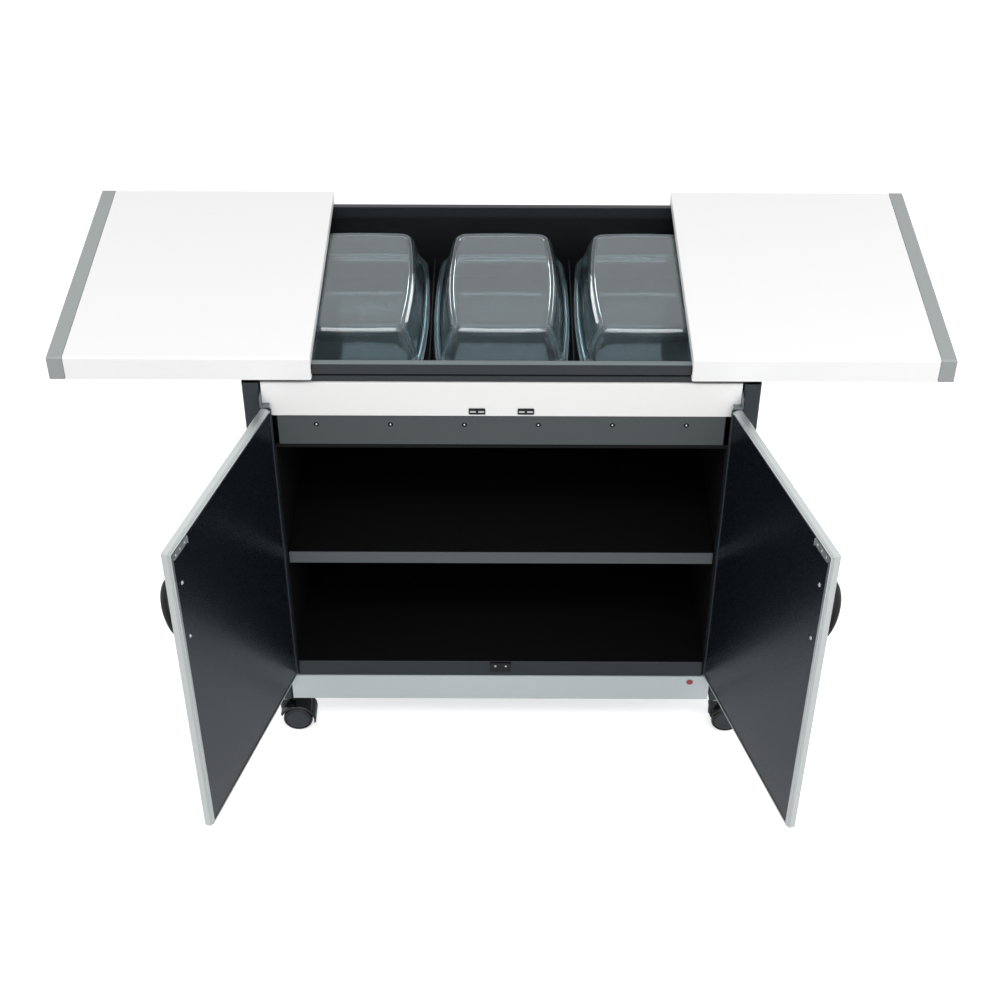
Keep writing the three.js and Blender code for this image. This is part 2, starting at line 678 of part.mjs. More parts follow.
// A ring of the casserole: a rounded rectangle whose four sides bow out. The bow fades to nothing
// at the corners: across, by the square of the distance along the side.
function bowedRing(halfX, halfY, radius, z, bow = 1) {
  const flatX = halfX - SIDE_BOW * bow
  const flatY = halfY - END_BOW * bow
  const turns = 3
  const points = []
  const corners = [[1, 1, 0], [-1, 1, 1], [-1, -1, 2], [1, -1, 3]]
  const along = [2, 4, 2, 4]
  corners.forEach(([sx, sy, quarter], k) => {
    const cx = sx * (flatX - radius)
    const cy = sy * (flatY - radius)
    for (let i = 0; i <= turns; i++) {
      const angle = (quarter + i / turns) * Math.PI / 2
      points.push([cx + radius * Math.cos(angle), cy + radius * Math.sin(angle)])
    }
    const [nx, ny] = corners[(k + 1) % 4]
    const from = points[points.length - 1]
    const next = (quarter + 1) * Math.PI / 2
    const to = [nx * (flatX - radius) + radius * Math.cos(next), ny * (flatY - radius) + radius * Math.sin(next)]
    for (let i = 1; i < along[k]; i++) {
      const t = i / along[k]
      points.push([from[0] + (to[0] - from[0]) * t, from[1] + (to[1] - from[1]) * t])
    }
  })
  return points.map(([x, y]) => [
    x * (1 + (SIDE_BOW * bow / flatX) * (1 - (y / flatY) ** 2)),
    dishMiddle + y * (1 + (END_BOW * bow / flatY) * (1 - (x / flatX) ** 2)),
    z,
  ])
}

// Dish: wall, floor and a thick rim that widens into a grip at each end
function casseroleDish() {
  const wallX = rimHalfWidth - RIM_WIDTH
  const wallY = rimHalfLength - END_GRIP
  const baseX = wallX - DISH_DRAFT
  const baseY = wallY - DISH_DRAFT
  const rimTop = dishBase + DISH_HEIGHT
  const rimLow = rimTop - RIM_THICKNESS
  const seat = rimTop - 2.2
  return skin([
    bowedRing(baseX - 7, baseY - 7, 14, dishBase),
    bowedRing(baseX - 1.5, baseY - 1.5, 18, dishBase + 2),
    bowedRing(baseX + 1.5, baseY + 1.5, 20, dishBase + 9),
    bowedRing(wallX - 2, wallY - 2, 22, rimLow - 8),
    bowedRing(wallX + 1, wallY + 1, 23, rimLow),
    bowedRing(rimHalfWidth - 1.2, rimHalfLength - 1.2, 27, rimLow),
    bowedRing(rimHalfWidth, rimHalfLength, 28, rimLow + 2.5),
    bowedRing(rimHalfWidth - 0.8, rimHalfLength - 0.8, 28, rimTop),
    bowedRing(wallX - GLASS + 3.5, wallY - GLASS + 3.5, 21, rimTop),
    bowedRing(wallX - GLASS + 1.5, wallY - GLASS + 1.5, 19, seat),
    bowedRing(baseX - GLASS + 3, baseY - GLASS + 3, 16, dishBase + 9 + GLASS),
    bowedRing(baseX - GLASS - 5, baseY - GLASS - 5, 12, dishBase + GLASS),
  ])
}

// Lid: a deep dome with a flat top, a flange on the dish's rim and a skirt that locates inside it
function casseroleLid() {
  const wallX = rimHalfWidth - RIM_WIDTH
  const wallY = rimHalfLength - END_GRIP
  const topX = wallX - LID_DRAFT
  const topY = wallY - LID_DRAFT
  const low = dishBase + DISH_HEIGHT + GAP
  const top = low + LID_HEIGHT
  const flangeX = rimHalfWidth - RIM_LIP
  const flangeY = rimHalfLength - RIM_LIP - 2
  return skin([
    bowedRing(topX - GLASS - 5, topY - GLASS - 5, 9, top - GLASS),
    bowedRing(topX - GLASS, topY - GLASS, 11, top - GLASS - 4),
    bowedRing(wallX - GLASS, wallY - GLASS, 15, low + 4),
    bowedRing(wallX - GLASS, wallY - GLASS, 18, low),
    bowedRing(flangeX - 0.8, flangeY - 0.8, 26, low),
    bowedRing(flangeX, flangeY, 26, low + 1.5),
    bowedRing(flangeX - 1, flangeY - 1, 26, low + 4.2),
    bowedRing(wallX + 1, wallY + 1, 20, low + 5),
    bowedRing(wallX - 1, wallY - 1, 18, low + 8),
    bowedRing(topX + 1.2, topY + 1.2, 15, top - 6),
    bowedRing(topX - 0.6, topY - 0.6, 13.5, top - 1.4),
    bowedRing(topX - 5, topY - 5, 10, top),
  ])
}

const dishGeometry = casseroleDish()
const lidGeometry = casseroleLid()
const dishPlaces = { left: -dishPitch, middle: 0, right: dishPitch }
for (const [place, x] of Object.entries(dishPlaces)) {
  piece(`casserole_dish_${place}`, dishGeometry.clone().translate(x, 0, 0), finishes.glass())
  piece(`casserole_lid_${place}`, lidGeometry.clone().translate(x, 0, 0), finishes.glass())
}

// ---------------------------------------------------------------------------------------------
// Sliding tops, drawn closed on the right and then slid out

const topGroups = [new THREE.Group(), new THREE.Group()]
topGroups[0].position.x = TOP_TRAVEL
topGroups[1].position.x = -TOP_TRAVEL
trolley.add(...topGroups)

// Top: a board with a skirt along its front and back. A tongue on each skirt runs in a rail groove.
function slidingTop() {
  const front = -TOP_OVERHANG
  const back = BODY_DEPTH + TOP_OVERHANG
  const tongueHigh = skirtBottom + TONGUE_THICKNESS
  const frontTip = RAIL_FACE + RAIL_GROOVE_DEPTH - TONGUE_PLAY
  const backTip = BODY_DEPTH - frontTip
  const section = outline([
    [front, skirtBottom], [frontTip, skirtBottom], [frontTip, tongueHigh],
    [front + SKIRT_WALL, tongueHigh], [front + SKIRT_WALL, boardBottom],
    [back - SKIRT_WALL, boardBottom], [back - SKIRT_WALL, tongueHigh], [backTip, tongueHigh],
    [backTip, skirtBottom], [back, skirtBottom],
    [back, boardTop - SKIRT_EDGE], [back - SKIRT_EDGE, boardTop], [front + SKIRT_EDGE, boardTop],
    [front, boardTop - SKIRT_EDGE],
  ])
  return prism('x', section, MEETING_GAP / 2, MEETING_GAP / 2 + topLength - END_TRIM_WIDTH - GAP)
}

// End trim: a moulding with the top's full section, hollow from below
function endTrim() {
  const outer = MEETING_GAP / 2 + topLength
  const inner = outer - END_TRIM_WIDTH
  const front = -TOP_OVERHANG
  const back = BODY_DEPTH + TOP_OVERHANG
  const section = outline([
    [front, skirtBottom], [back, skirtBottom], [back, boardTop - SKIRT_EDGE],
    [back - SKIRT_EDGE, boardTop], [front + SKIRT_EDGE, boardTop], [front, boardTop - SKIRT_EDGE],
  ])
  const pocket = block([inner + END_TRIM_WALL, front + SKIRT_WALL, skirtBottom - 1],
    [outer - END_TRIM_WALL, back - SKIRT_WALL, boardTop - 2 * END_TRIM_WALL])
  const edge = 2
  const chamfer = prism('y', outline([
    [outer - edge, boardTop + 1], [outer + 1, boardTop + 1], [outer + 1, boardTop - edge], [outer, boardTop - edge],
    [outer - edge, boardTop],
  ]), front - 1, back + 1)
  return cut(prism('x', section, inner, outer), pocket, chamfer)
}

pair('sliding_top', slidingTop(), finishes.whitePaint, topGroups)
pair('top_end_trim', endTrim(), finishes.greyTrim, topGroups)

// ---------------------------------------------------------------------------------------------
// Doors, drawn closed on the right and then swung about their pins

// A group whose origin is a door's pivot, so that turning it swings the door
const doorGroups = [1, -1].map((side) => {
  const group = new THREE.Group()
  group.position.set(side * pinX, pinY, 0)
  group.rotation.z = side * THREE.MathUtils.degToRad(DOOR_OPEN)
  trolley.add(group)
  return group
})

const hingeEdge = PIN_FROM_EDGE // all door geometry below is measured from the pin
const freeEdge = PIN_FROM_EDGE - doorWidth
const innerFace = PIN_FROM_FACE
const outerFace = innerFace - DOOR_THICKNESS

function pinBores() {
  const radius = PIN_RADIUS + RUNNING_GAP
  return [
    rod(0, 0, doorTop - PIN_LENGTH - 2, doorTop + 1, radius, 12),
    rod(0, 0, doorBottom - 1, doorBottom + PIN_LENGTH + 2, radius, 12),
  ]
}

function doorPanel() {
  const inset = EDGING_WEB + GAP
  const face = EDGING_LIP + GAP
  const sheet = block([freeEdge + inset, outerFace + face, doorBottom + inset],
    [hingeEdge - inset, innerFace - face, doorTop - inset])
  return cut(sheet, ...pinBores())
}

// Edging: one extruded channel carried round the panel, mitred at the four corners, its edge face
// stepped back towards the inner side. The profile is given as [distance in from a side, distance
// from the outer face, and distance in from the top or bottom where that differs].
function doorEdging() {
  const t = DOOR_THICKNESS
  let reached = 0
  const steps = EDGING_STEPS.flatMap(([inwards, below]) => {
    const step = [[reached, t - below], [inwards, t - below]]
    reached = inwards
    return step
  })
  const profile = [
    [1, 0], [0, 1], ...steps, [reached, t], [EDGING_INNER_LIP - 0.5, t, EDGING_TOP_LIP - 0.5],
    [EDGING_INNER_LIP, t - EDGING_LIP, EDGING_TOP_LIP],
    [EDGING_WEB, t - EDGING_LIP], [EDGING_WEB, EDGING_LIP], [EDGING_OUTER_LIP, EDGING_LIP],
    [EDGING_OUTER_LIP - 0.5, 0],
  ]
  const corners = [
    [hingeEdge, doorBottom, -1, 1], [hingeEdge, doorTop, -1, -1],
    [freeEdge, doorTop, 1, -1], [freeEdge, doorBottom, 1, 1],
  ]
  const count = profile.length
  const positions = []
  for (const [x, z, inX, inZ] of corners) {
    for (const [inwards, depth, upright = inwards] of profile) {
      positions.push(x + inX * inwards, outerFace + depth, z + inZ * upright)
    }
  }
  const faces = []
  for (let k = 0; k < 4; k++) {
    const a = k * count
    const b = ((k + 1) % 4) * count
    for (let i = 0; i < count; i++) {
      const j = (i + 1) % count
      faces.push(a + i, a + j, b + j, a + i, b + j, b + i)
    }
  }
  const ring = new THREE.BufferGeometry()
  ring.setAttribute('position', new THREE.Float32BufferAttribute(positions, 3))
  ring.setIndex(faces)
  return cut(ring, ...pinBores())
}

// Handle: a bow on two feet, following half an ellipse
function doorHandle() {
  const x = freeEdge + HANDLE_FROM_EDGE
  const z = doorTop - HANDLE_BELOW_TOP
  const foot = outerFace - GAP
  const depth = HANDLE_REACH - HANDLE_THICKNESS / 2
  const half = HANDLE_CENTRES / 2
  const path = new THREE.CurvePath()
  const at = (dy, dz) => new THREE.Vector3(x, foot - dy, z + dz)
  const k = 0.5523 // Bezier handle length of a quarter ellipse
  const rise = 4 // straight foot before the curve
  path.add(new THREE.LineCurve3(at(0, -half), at(rise, -half)))
  path.add(new THREE.CubicBezierCurve3(at(rise, -half), at(rise + k * (depth - rise), -half),
    at(depth, -k * half), at(depth, 0)))
  path.add(new THREE.CubicBezierCurve3(at(depth, 0), at(depth, k * half),
    at(rise + k * (depth - rise), half), at(rise, half)))
  path.add(new THREE.LineCurve3(at(rise, half), at(0, half)))
  const section = new THREE.Shape()
  section.absellipse(0, 0, HANDLE_THICKNESS / 2, HANDLE_BREADTH / 2, 0, Math.PI * 2)
  return new THREE.ExtrudeGeometry(section, { steps: 24, curveSegments: 5, extrudePath: path })
}

// Strike plate near the door's free top corner, with a tab bent up at its hinge end
function strikePlate() {
  const x0 = freeEdge + STRIKE_FROM_EDGE
  const x1 = x0 + STRIKE_LENGTH
  const z1 = doorTop - STRIKE_BELOW_TOP
  const z0 = z1 - STRIKE_HEIGHT
  const face = innerFace - EDGING_LIP
  const plate = roundedRectangle(STRIKE_LENGTH / 2, STRIKE_HEIGHT / 2, STRIKE_HEIGHT / 3)
  const flat = prism('y', plate, face, face + STRIKE_THICKNESS, 3)
  flat.translate((x0 + x1) / 2, 0, (z0 + z1) / 2)
  const tab = block([x1 - STRIKE_THICKNESS, face, z0], [x1, face + STRIKE_TAB, z1])
  return join(flat, tab)
}

function doorPieces(parents) {
  pair('door_panel', doorPanel(), finishes.doorLining, parents)
  pair('door_edging', doorEdging(), finishes.aluminium, parents)
  pair('door_handle', doorHandle(), finishes.blackPlastic, parents)
  pair('strike_plate', strikePlate(), finishes.steel, parents)
}
doorPieces(doorGroups)

// Pivot bracket: an angle beside the post, with the pin that carries the door riveted to it
function pivotBracket(up) {
  const tip = up > 0 ? doorTop : doorBottom
  const near = tip + up * DOOR_TOP_PLAY
  const far = near + up * BRACKET
  const end = near + up * BRACKET_LEG
  const low = (a, b) => Math.min(a, b)
  const high = (a, b) => Math.max(a, b)
  const front = pinY - PIN_FROM_EDGE
  const outer = postInner - GAP
  const tongue = block([pinX - PIN_FROM_EDGE, front, low(near, far)],
    [outer, FASCIA_FACE - 2, high(near, far)])
  const leg = block([outer - BRACKET, front, low(near, end)], [outer, front + BRACKET_REACH, high(near, end)])
  const inner = tip - up * PIN_LENGTH
  const pin = rod(pinX, pinY, low(inner, far), high(inner, far), PIN_RADIUS, 12)
  return join(tongue, leg, pin)
}

pair('door_pivot_upper', pivotBracket(1), finishes.steel)
pair('door_pivot_lower', pivotBracket(-1), finishes.steel)

// Catches: plastic bodies. The upper ones hold the strike plates between two pole faces each, and
// the lower one holds both doors with a pointed stud each.
function catchBody(width, height, back) {
  return prism('y', roundedRectangle(width / 2, height / 2, 1.5), catchFront, back - GAP, 2)
}

function upperCatch() {
  const pole = (x) => block([x - POLE_WIDTH / 2, catchFront - POLE_REACH, -POLE_HEIGHT / 2],
    [x + POLE_WIDTH / 2, catchFront + POLE_REACH, POLE_HEIGHT / 2])
  const spread = CATCH_WIDTH / 4
  const face = catchBody(CATCH_WIDTH, CATCH_HEIGHT, FASCIA_FACE)
  const body = join(face, catchCore(0, catchFront + 0.5, FASCIA_FACE + CATCH_DEPTH), pole(spread), pole(-spread))
  return body.translate(CATCH_FROM_CENTRE, 0, catchHeight)
}

function lowerCatch() {
  const profile = [[0, -STUD_REACH], [0.6 * STUD_RADIUS, -0.6 * STUD_REACH], [STUD_RADIUS, 0],
    [STUD_RADIUS, 0.5], [0, 0.5]]
  const stud = (x) => turnedAlongY(profile, 10).translate(x, catchFront, STUD_RISE)
  const spread = LOWER_CATCH_WIDTH / 4
  const body = join(catchBody(LOWER_CATCH_WIDTH, LOWER_CATCH_HEIGHT, INNER_FACE), stud(spread), stud(-spread))
  return body.translate(0, 0, sillTop - LOWER_CATCH_HEIGHT / 2 - GAP)
}

pair('upper_catch', upperCatch(), finishes.blackPlastic)
piece('lower_catch', lowerCatch(), finishes.blackPlastic())

// ---------------------------------------------------------------------------------------------
// Electrical parts that show

// Indicator lens, through the front base rail
function indicatorLens() {
  const front = BASE_RAIL_FACE - GAP
  const neck = LENS_RADIUS - 1 - RUNNING_GAP
  const profile = [
    [0, -3], [2.6, -2.6], [4.4, -1.8], [LENS_RADIUS, -0.6], [LENS_RADIUS, 0], [neck, 0], [neck, 9], [0, 9],
  ]
  const lens = turnedAlongY(profile, 16)
  return lens.translate(lensX, front, baseRailBottom + LENS_ABOVE_RAIL)
}

// Mains inlet in the back panel: a flanged socket with its three pins
function mainsInlet() {
  const face = BODY_DEPTH - BACK_RECESS + GAP
  const halfX = INLET_WIDTH / 2
  const halfZ = INLET_HEIGHT / 2
  const flange = block([-halfX - INLET_FLANGE, face, -halfZ - INLET_FLANGE / 2],
    [halfX + INLET_FLANGE, face + 2, halfZ + INLET_FLANGE / 2])
  const body = block([-halfX, face - INLET_DEPTH, -halfZ], [halfX, face + 1, halfZ])
  const socket = block([-halfX + 2, face - INLET_DEPTH + 4, -halfZ + 2], [halfX - 2, face + 3, halfZ - 2])
  const pin = (x, z) => block([x - 1, face - INLET_DEPTH + 3, z - 2], [x + 1, face - 4, z + 2])
  const inlet = join(cut(join(flange, body), socket), pin(0, 2.5), pin(-7, -2), pin(7, -2))
  return inlet.translate(inletX, 0, panelBottom + INLET_RISE)
}

piece('indicator_lens', indicatorLens(), finishes.redLens())
piece('mains_inlet', mainsInlet(), finishes.blackPlastic())

// ---------------------------------------------------------------------------------------------
// Castors: a hood on a stem, and two wheels on its axle. All four trail to the right.

// Hood: an arched cover over both wheels, the web between them, the axle, and the swivel stem with
// its collar under the post
function castorHood() {
  const inner = WHEEL_RADIUS + HOOD_GAP
  const outer = inner + HOOD_WALL
  const start = THREE.MathUtils.degToRad(-12)
  const end = THREE.MathUtils.degToRad(158)
  const half = CASTOR_WIDTH / 2
  const side = new THREE.Shape()
  side.absarc(0, 0, outer, start, end, false)
  side.absarc(0, 0, AXLE_RADIUS + 4, end, Math.PI * 2 + start, false)
  const cover = prism('y', side, -half, half, 8)
  const axle = new THREE.CylinderGeometry(AXLE_RADIUS, AXLE_RADIUS, CASTOR_WIDTH - 4, 14)
  const top = CASTOR_HEIGHT - WHEEL_RADIUS - SWIVEL_GAP
  const boss = rod(-CASTOR_TRAIL, 0, 4, top - COLLAR_HEIGHT, STEM_BOSS, 16)
  const collar = rod(-CASTOR_TRAIL, 0, top - COLLAR_HEIGHT - 1, top, COLLAR_RADIUS, 12)
  const stem = rod(-CASTOR_TRAIL, 0, top - 1, top + SWIVEL_GAP + STEM_LENGTH, STEM_RADIUS)
  const wheelRoom = (hand) => {
    const y = hand * (CASTOR_WEB / 2 + half)
    return new THREE.CylinderGeometry(inner, inner, CASTOR_WIDTH, 28).translate(0, y, 0)
  }
  const hood = cut(join(cover, boss), wheelRoom(1), wheelRoom(-1))
  return join(hood, axle, collar, stem).translate(CASTOR_TRAIL, 0, WHEEL_RADIUS)
}

// Wheel: tread with rounded shoulders, and a smooth face, a little domed, inside a raised rim
function castorWheel(side) {
  const inner = CASTOR_WEB / 2 + 0.8
  const outer = CASTOR_WIDTH / 2
  const bore = AXLE_RADIUS + RUNNING_GAP
  const r = WHEEL_RADIUS
  const profile = [
    [bore, inner], [r - 2.5, inner], [r, inner + 2.5], [r, outer - 4], [r - 3.5, outer - 0.3],
    [r - 5, outer - 1.3], [r - 10, outer - 0.3], [bore, outer], [bore, inner],
  ]
  const wheel = turnedAlongY(profile, 18)
  if (side < 0) wheel.rotateZ(Math.PI)
  return wheel.translate(CASTOR_TRAIL, 0, WHEEL_RADIUS)
}

for (const [row, y] of Object.entries(postRows)) {
  for (const [hand, x] of [['right', postX], ['left', -postX]]) {
    const castor = new THREE.Group()
    castor.position.set(x, y, 0)
    trolley.add(castor)
    piece(`castor_hood_${row}_${hand}`, castorHood(), finishes.blackPlastic(), castor)
    piece(`castor_wheel_${row}_${hand}_outer`, castorWheel(row === 'front' ? -1 : 1), finishes.rubber(), castor)
    piece(`castor_wheel_${row}_${hand}_inner`, castorWheel(row === 'front' ? 1 : -1), finishes.rubber(), castor)
  }
}

// ---------------------------------------------------------------------------------------------
// The origin: on the floor, in the middle of the open trolley's outline

trolley.updateMatrixWorld(true)
const reach = new THREE.Box3().setFromObject(trolley, true)
trolley.position.y = -(reach.min.y + reach.max.y) / 2

export default trolley
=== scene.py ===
"""Looks of a hostess trolley: white sliding tops, glass casseroles in a black well, dark doors.

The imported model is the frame. Its sheet-metal, board and extruded pieces keep their solids and get
their finish and softened edges here. The casseroles, handles and castors are made again as smooth
surfaces, and the small screws that the solids leave out are added.
"""

import json
import logging
import math
from dataclasses import dataclass, replace
from enum import Enum

import bpy
import numpy as np
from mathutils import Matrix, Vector


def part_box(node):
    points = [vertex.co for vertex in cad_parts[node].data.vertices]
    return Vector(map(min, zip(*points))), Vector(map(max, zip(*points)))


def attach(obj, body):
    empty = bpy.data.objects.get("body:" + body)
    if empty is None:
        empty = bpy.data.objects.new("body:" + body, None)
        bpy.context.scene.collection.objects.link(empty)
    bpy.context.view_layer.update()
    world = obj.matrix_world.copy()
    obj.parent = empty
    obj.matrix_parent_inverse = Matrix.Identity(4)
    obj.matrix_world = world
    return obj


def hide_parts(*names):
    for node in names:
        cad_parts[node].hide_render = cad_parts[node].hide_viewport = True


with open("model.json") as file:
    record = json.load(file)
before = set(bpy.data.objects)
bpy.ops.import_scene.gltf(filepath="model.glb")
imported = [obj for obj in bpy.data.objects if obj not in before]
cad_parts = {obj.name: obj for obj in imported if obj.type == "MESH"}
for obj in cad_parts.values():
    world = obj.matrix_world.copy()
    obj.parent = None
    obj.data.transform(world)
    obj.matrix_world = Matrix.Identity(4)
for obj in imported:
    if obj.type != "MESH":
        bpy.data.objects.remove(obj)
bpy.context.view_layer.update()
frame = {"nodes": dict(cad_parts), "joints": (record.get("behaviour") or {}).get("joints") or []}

log = logging.getLogger("hostess_trolley")
MM = 0.001
TURN = 2 * math.pi
WHITE = (1.0, 1.0, 1.0, 1.0)
# A finish with more metal than this is a metal, and keeps the default IOR
METAL = 0.5
# New pieces are split at edges that turn by more than this, and solids rounded at theirs
CREASE_ANGLE = math.radians(50)
ROUNDED_ANGLE = math.radians(40)
# Solids are loose triangles, joined within this many mm before their edges are rounded
WELD_REACH = 0.01
# Radius at which a revolved shape closes on its axis, in mm
PINHOLE = 0.01

Array = np.ndarray
Shape = tuple[Array, list]  # points and faces
Vec = tuple[float, float, float]
Piece = bpy.types.Object
Tree = bpy.types.NodeTree
Node = bpy.types.Node
Socket = bpy.types.NodeSocket


class Side(Enum):
    """Which half of the trolley a piece belongs to."""

    LEFT = -1
    RIGHT = 1

    @property
    def word(self) -> str:
        """The side as it is written in node names."""
        return self.name.lower()


class Shading(Enum):
    """How a new piece's faces are shaded."""

    SMOOTH = "as one surface"
    CREASED = "as surfaces that part at sharp edges"
    FLAT = "each on its own"


# ------ Colours and node trees


def linear(hex_colour: str) -> tuple[float, float, float, float]:
    """Turns an sRGB hex value into linear light.

    Args:
        hex_colour: Six hex digits with a leading hash.

    Returns:
        Red, green, blue and an alpha of one.
    """
    parts = [int(hex_colour[i : i + 2], 16) / 255 for i in (1, 3, 5)]
    light = [c / 12.92 if c <= 0.04045 else ((c + 0.055) / 1.055) ** 2.4 for c in parts]
    return (*light, 1.0)


def add_node(
    tree: Tree,
    kind: str,
    settings: dict | None = None,
    values: dict | None = None,
    links: dict | None = None,
) -> Node:
    """Adds a node with its settings, its unlinked values and its incoming links.

    Args:
        tree: The tree that the node goes into.
        kind: Blender's type name of the node, without its ShaderNode.
        settings: Properties of the node itself.
        values: Input sockets, by name or index, and the value each one holds.
        links: Input sockets, by name or index, and the output socket that feeds each one.

    Returns:
        The new node.
    """
    node = tree.nodes.new(f"ShaderNode{kind}")
    for name, value in (settings or {}).items():
        setattr(node, name, value)
    for socket, value in (values or {}).items():
        node.inputs[socket].default_value = value
    for socket, source in (links or {}).items():
        tree.links.new(source, node.inputs[socket])
    return node


def fresh_tree(owner: bpy.types.ID) -> Tree:
    """The emptied node tree of a new material or world."""
    owner.use_nodes = True
    owner.node_tree.nodes.clear()
    return owner.node_tree


def object_place(tree: Tree) -> Socket:
    """The Object coordinates that the patterns in a material's tree read."""
    return tree.nodes["place"].outputs["Object"]


def add_height(tree: Tree, shader: Node, height: Socket, depth_mm: float) -> None:
    """Adds a pattern to the height that tilts a shader's normal.

    Args:
        tree: The material's tree.
        shader: The Principled node.
        height: The pattern.
        depth_mm: How far it rises from 0 to 1, in mm.
    """
    normal = shader.inputs["Normal"]
    under = {"Normal": link.from_socket for link in normal.links}
    values = {"Strength": 1.0, "Distance": depth_mm * MM}
    bump = add_node(tree, "Bump", values=values, links={"Height": height, **under})
    tree.links.new(bump.outputs["Normal"], normal)


# ------ Finishes


@dataclass(frozen=True)
class Finish:
    """A surface with a fine grain in its height, its gloss and its shade.

    The grain is noise on Object coordinates. grain_mm is the size of one bump, and stretch makes
    it longer along X, Y or Z, as brushing or drawing does.
    """

    name: str
    colour: str
    roughness: float = 0.4
    metallic: float = 0.0
    ior: float = 1.5
    coat: float = 0.0
    gloss_tint: str = "#ffffff"
    grain_mm: float = 1.0
    depth_mm: float = 0.03
    stretch: Vec = (1.0, 1.0, 1.0)
    shade_spread: float = 0.03
    gloss_spread: float = 0.05

    def build(self) -> bpy.types.Material:
        """Makes the material, or returns the one that exists.

        Returns:
            The finished material.
        """
        known = bpy.data.materials.get(self.name)
        if known is not None:
            return known
        material = bpy.data.materials.new(self.name)
        tree = fresh_tree(material)
        add_node(tree, "TexCoord", settings={"name": "place"})
        add_node(tree, "OutputMaterial", links=self.outputs(tree))
        return material

    def outputs(self, tree: Tree) -> dict:
        """The sockets that feed the material's output, by the names of its inputs."""
        return {"Surface": self.surface(tree)}

    def surface(self, tree: Tree) -> Socket:
        """Makes the surface shader.

        Args:
            tree: The material's tree.

        Returns:
            The shader's output.
        """
        values = {
            "Metallic": self.metallic,
            "Coat Weight": self.coat,
            "Specular Tint": linear(self.gloss_tint),
        }
        if self.metallic < METAL:
            values["IOR"] = self.ior
        shader = add_node(tree, "BsdfPrincipled", values=values)
        self.dress(tree, shader)
        return shader.outputs["BSDF"]

    def grain(self, tree: Tree) -> Socket:
        """The noise that the height, gloss and shade share.

        Args:
            tree: The material's tree.

        Returns:
            The noise, from 0 to 1.
        """
        scale = [1 / (self.grain_mm * MM * s) for s in self.stretch]
        place = {"Vector": object_place(tree)}
        mapping = add_node(tree, "Mapping", values={"Scale": scale}, links=place)
        values = {"Scale": 1.0, "Detail": 2.0, "Roughness": 0.5}
        place = {"Vector": mapping.outputs["Vector"]}
        return add_node(tree, "TexNoise", values=values, links=place).outputs["Fac"]

    def dress(self, tree: Tree, shader: Node) -> None:
        """Feeds the colour, gloss and height into the shader, all three from the grain.

        Args:
            tree: The material's tree.
            shader: The Principled node.
        """
        noise = self.grain(tree)
        base, spread = linear(self.colour)[:3], self.shade_spread
        dark, light = ([min(1.0, c * s) for c in base] + [1.0] for s in (1 - spread, 1 + spread))
        shade = add_node(tree, "Mix", {"data_type": "RGBA"}, {6: dark, 7: light}, {0: noise})
        tree.links.new(shade.outputs[2], shader.inputs["Base Color"])
        bounds = {
            "To Min": max(0.02, self.roughness - self.gloss_spread),
            "To Max": min(1.0, self.roughness + self.gloss_spread),
        }
        gloss = add_node(tree, "MapRange", values=bounds, links={"Value": noise})
        tree.links.new(gloss.outputs["Result"], shader.inputs["Roughness"])
        add_height(tree, shader, noise, self.depth_mm)


@dataclass(frozen=True)
class TwoTone(Finish):
    """One finish that gives way to another beyond a plane.

    A point's distance along the plane's normal is a dot product. Where that is more than the
    plane's own distance, the point has the far finish.
    """

    colour: str = "#ffffff"
    near: Finish | None = None
    far: Finish | None = None
    normal: Vec = (0.0, -1.0, 0.0)
    meeting_point: Vec = (0.0, 0.0, 0.0)

    def surface(self, tree: Tree) -> Socket:
        """Mixes the two finishes' shaders by the side of the plane.

        Args:
            tree: The material's tree.

        Returns:
            The mixed shader.
        """
        dot, place = {"operation": "DOT_PRODUCT"}, {0: object_place(tree)}
        along = add_node(tree, "VectorMath", dot, {1: self.normal}, place)
        distance = {1: float(np.dot(self.normal, self.meeting_point))}
        more = {"operation": "GREATER_THAN"}
        beyond = add_node(tree, "Math", more, distance, {0: along.outputs["Value"]})
        sides = {1: self.near.surface(tree), 2: self.far.surface(tree)}
        mix = add_node(tree, "MixShader", links={0: beyond.outputs["Value"], **sides})
        return mix.outputs["Shader"]


@dataclass(frozen=True)
class GroovedExtrusion(Finish):
    """Anodised extrusion with fine grooves that run along it.

    The grooves are a sine of the distance across the board's edge, so they show as lines on the
    edge faces and leave the lips plain.
    """

    across: Vec = (0.0, 1.0, 0.0)
    pitch_mm: float = 1.6
    groove_mm: float = 0.12

    def dress(self, tree: Tree, shader: Node) -> None:
        """Adds the grooves to the plain finish's height.

        Args:
            tree: The material's tree.
            shader: The Principled node.
        """
        Finish.dress(self, tree, shader)
        dot, place = {"operation": "DOT_PRODUCT"}, {0: object_place(tree)}
        along = add_node(tree, "VectorMath", dot, {1: self.across}, place)
        times, rate = {"operation": "MULTIPLY"}, {1: TURN / (self.pitch_mm * MM)}
        turns = add_node(tree, "Math", times, rate, {0: along.outputs["Value"]})
        wave = add_node(tree, "Math", {"operation": "SINE"}, links={0: turns.outputs["Value"]})
        add_height(tree, shader, wave.outputs["Value"], self.groove_mm / 2)


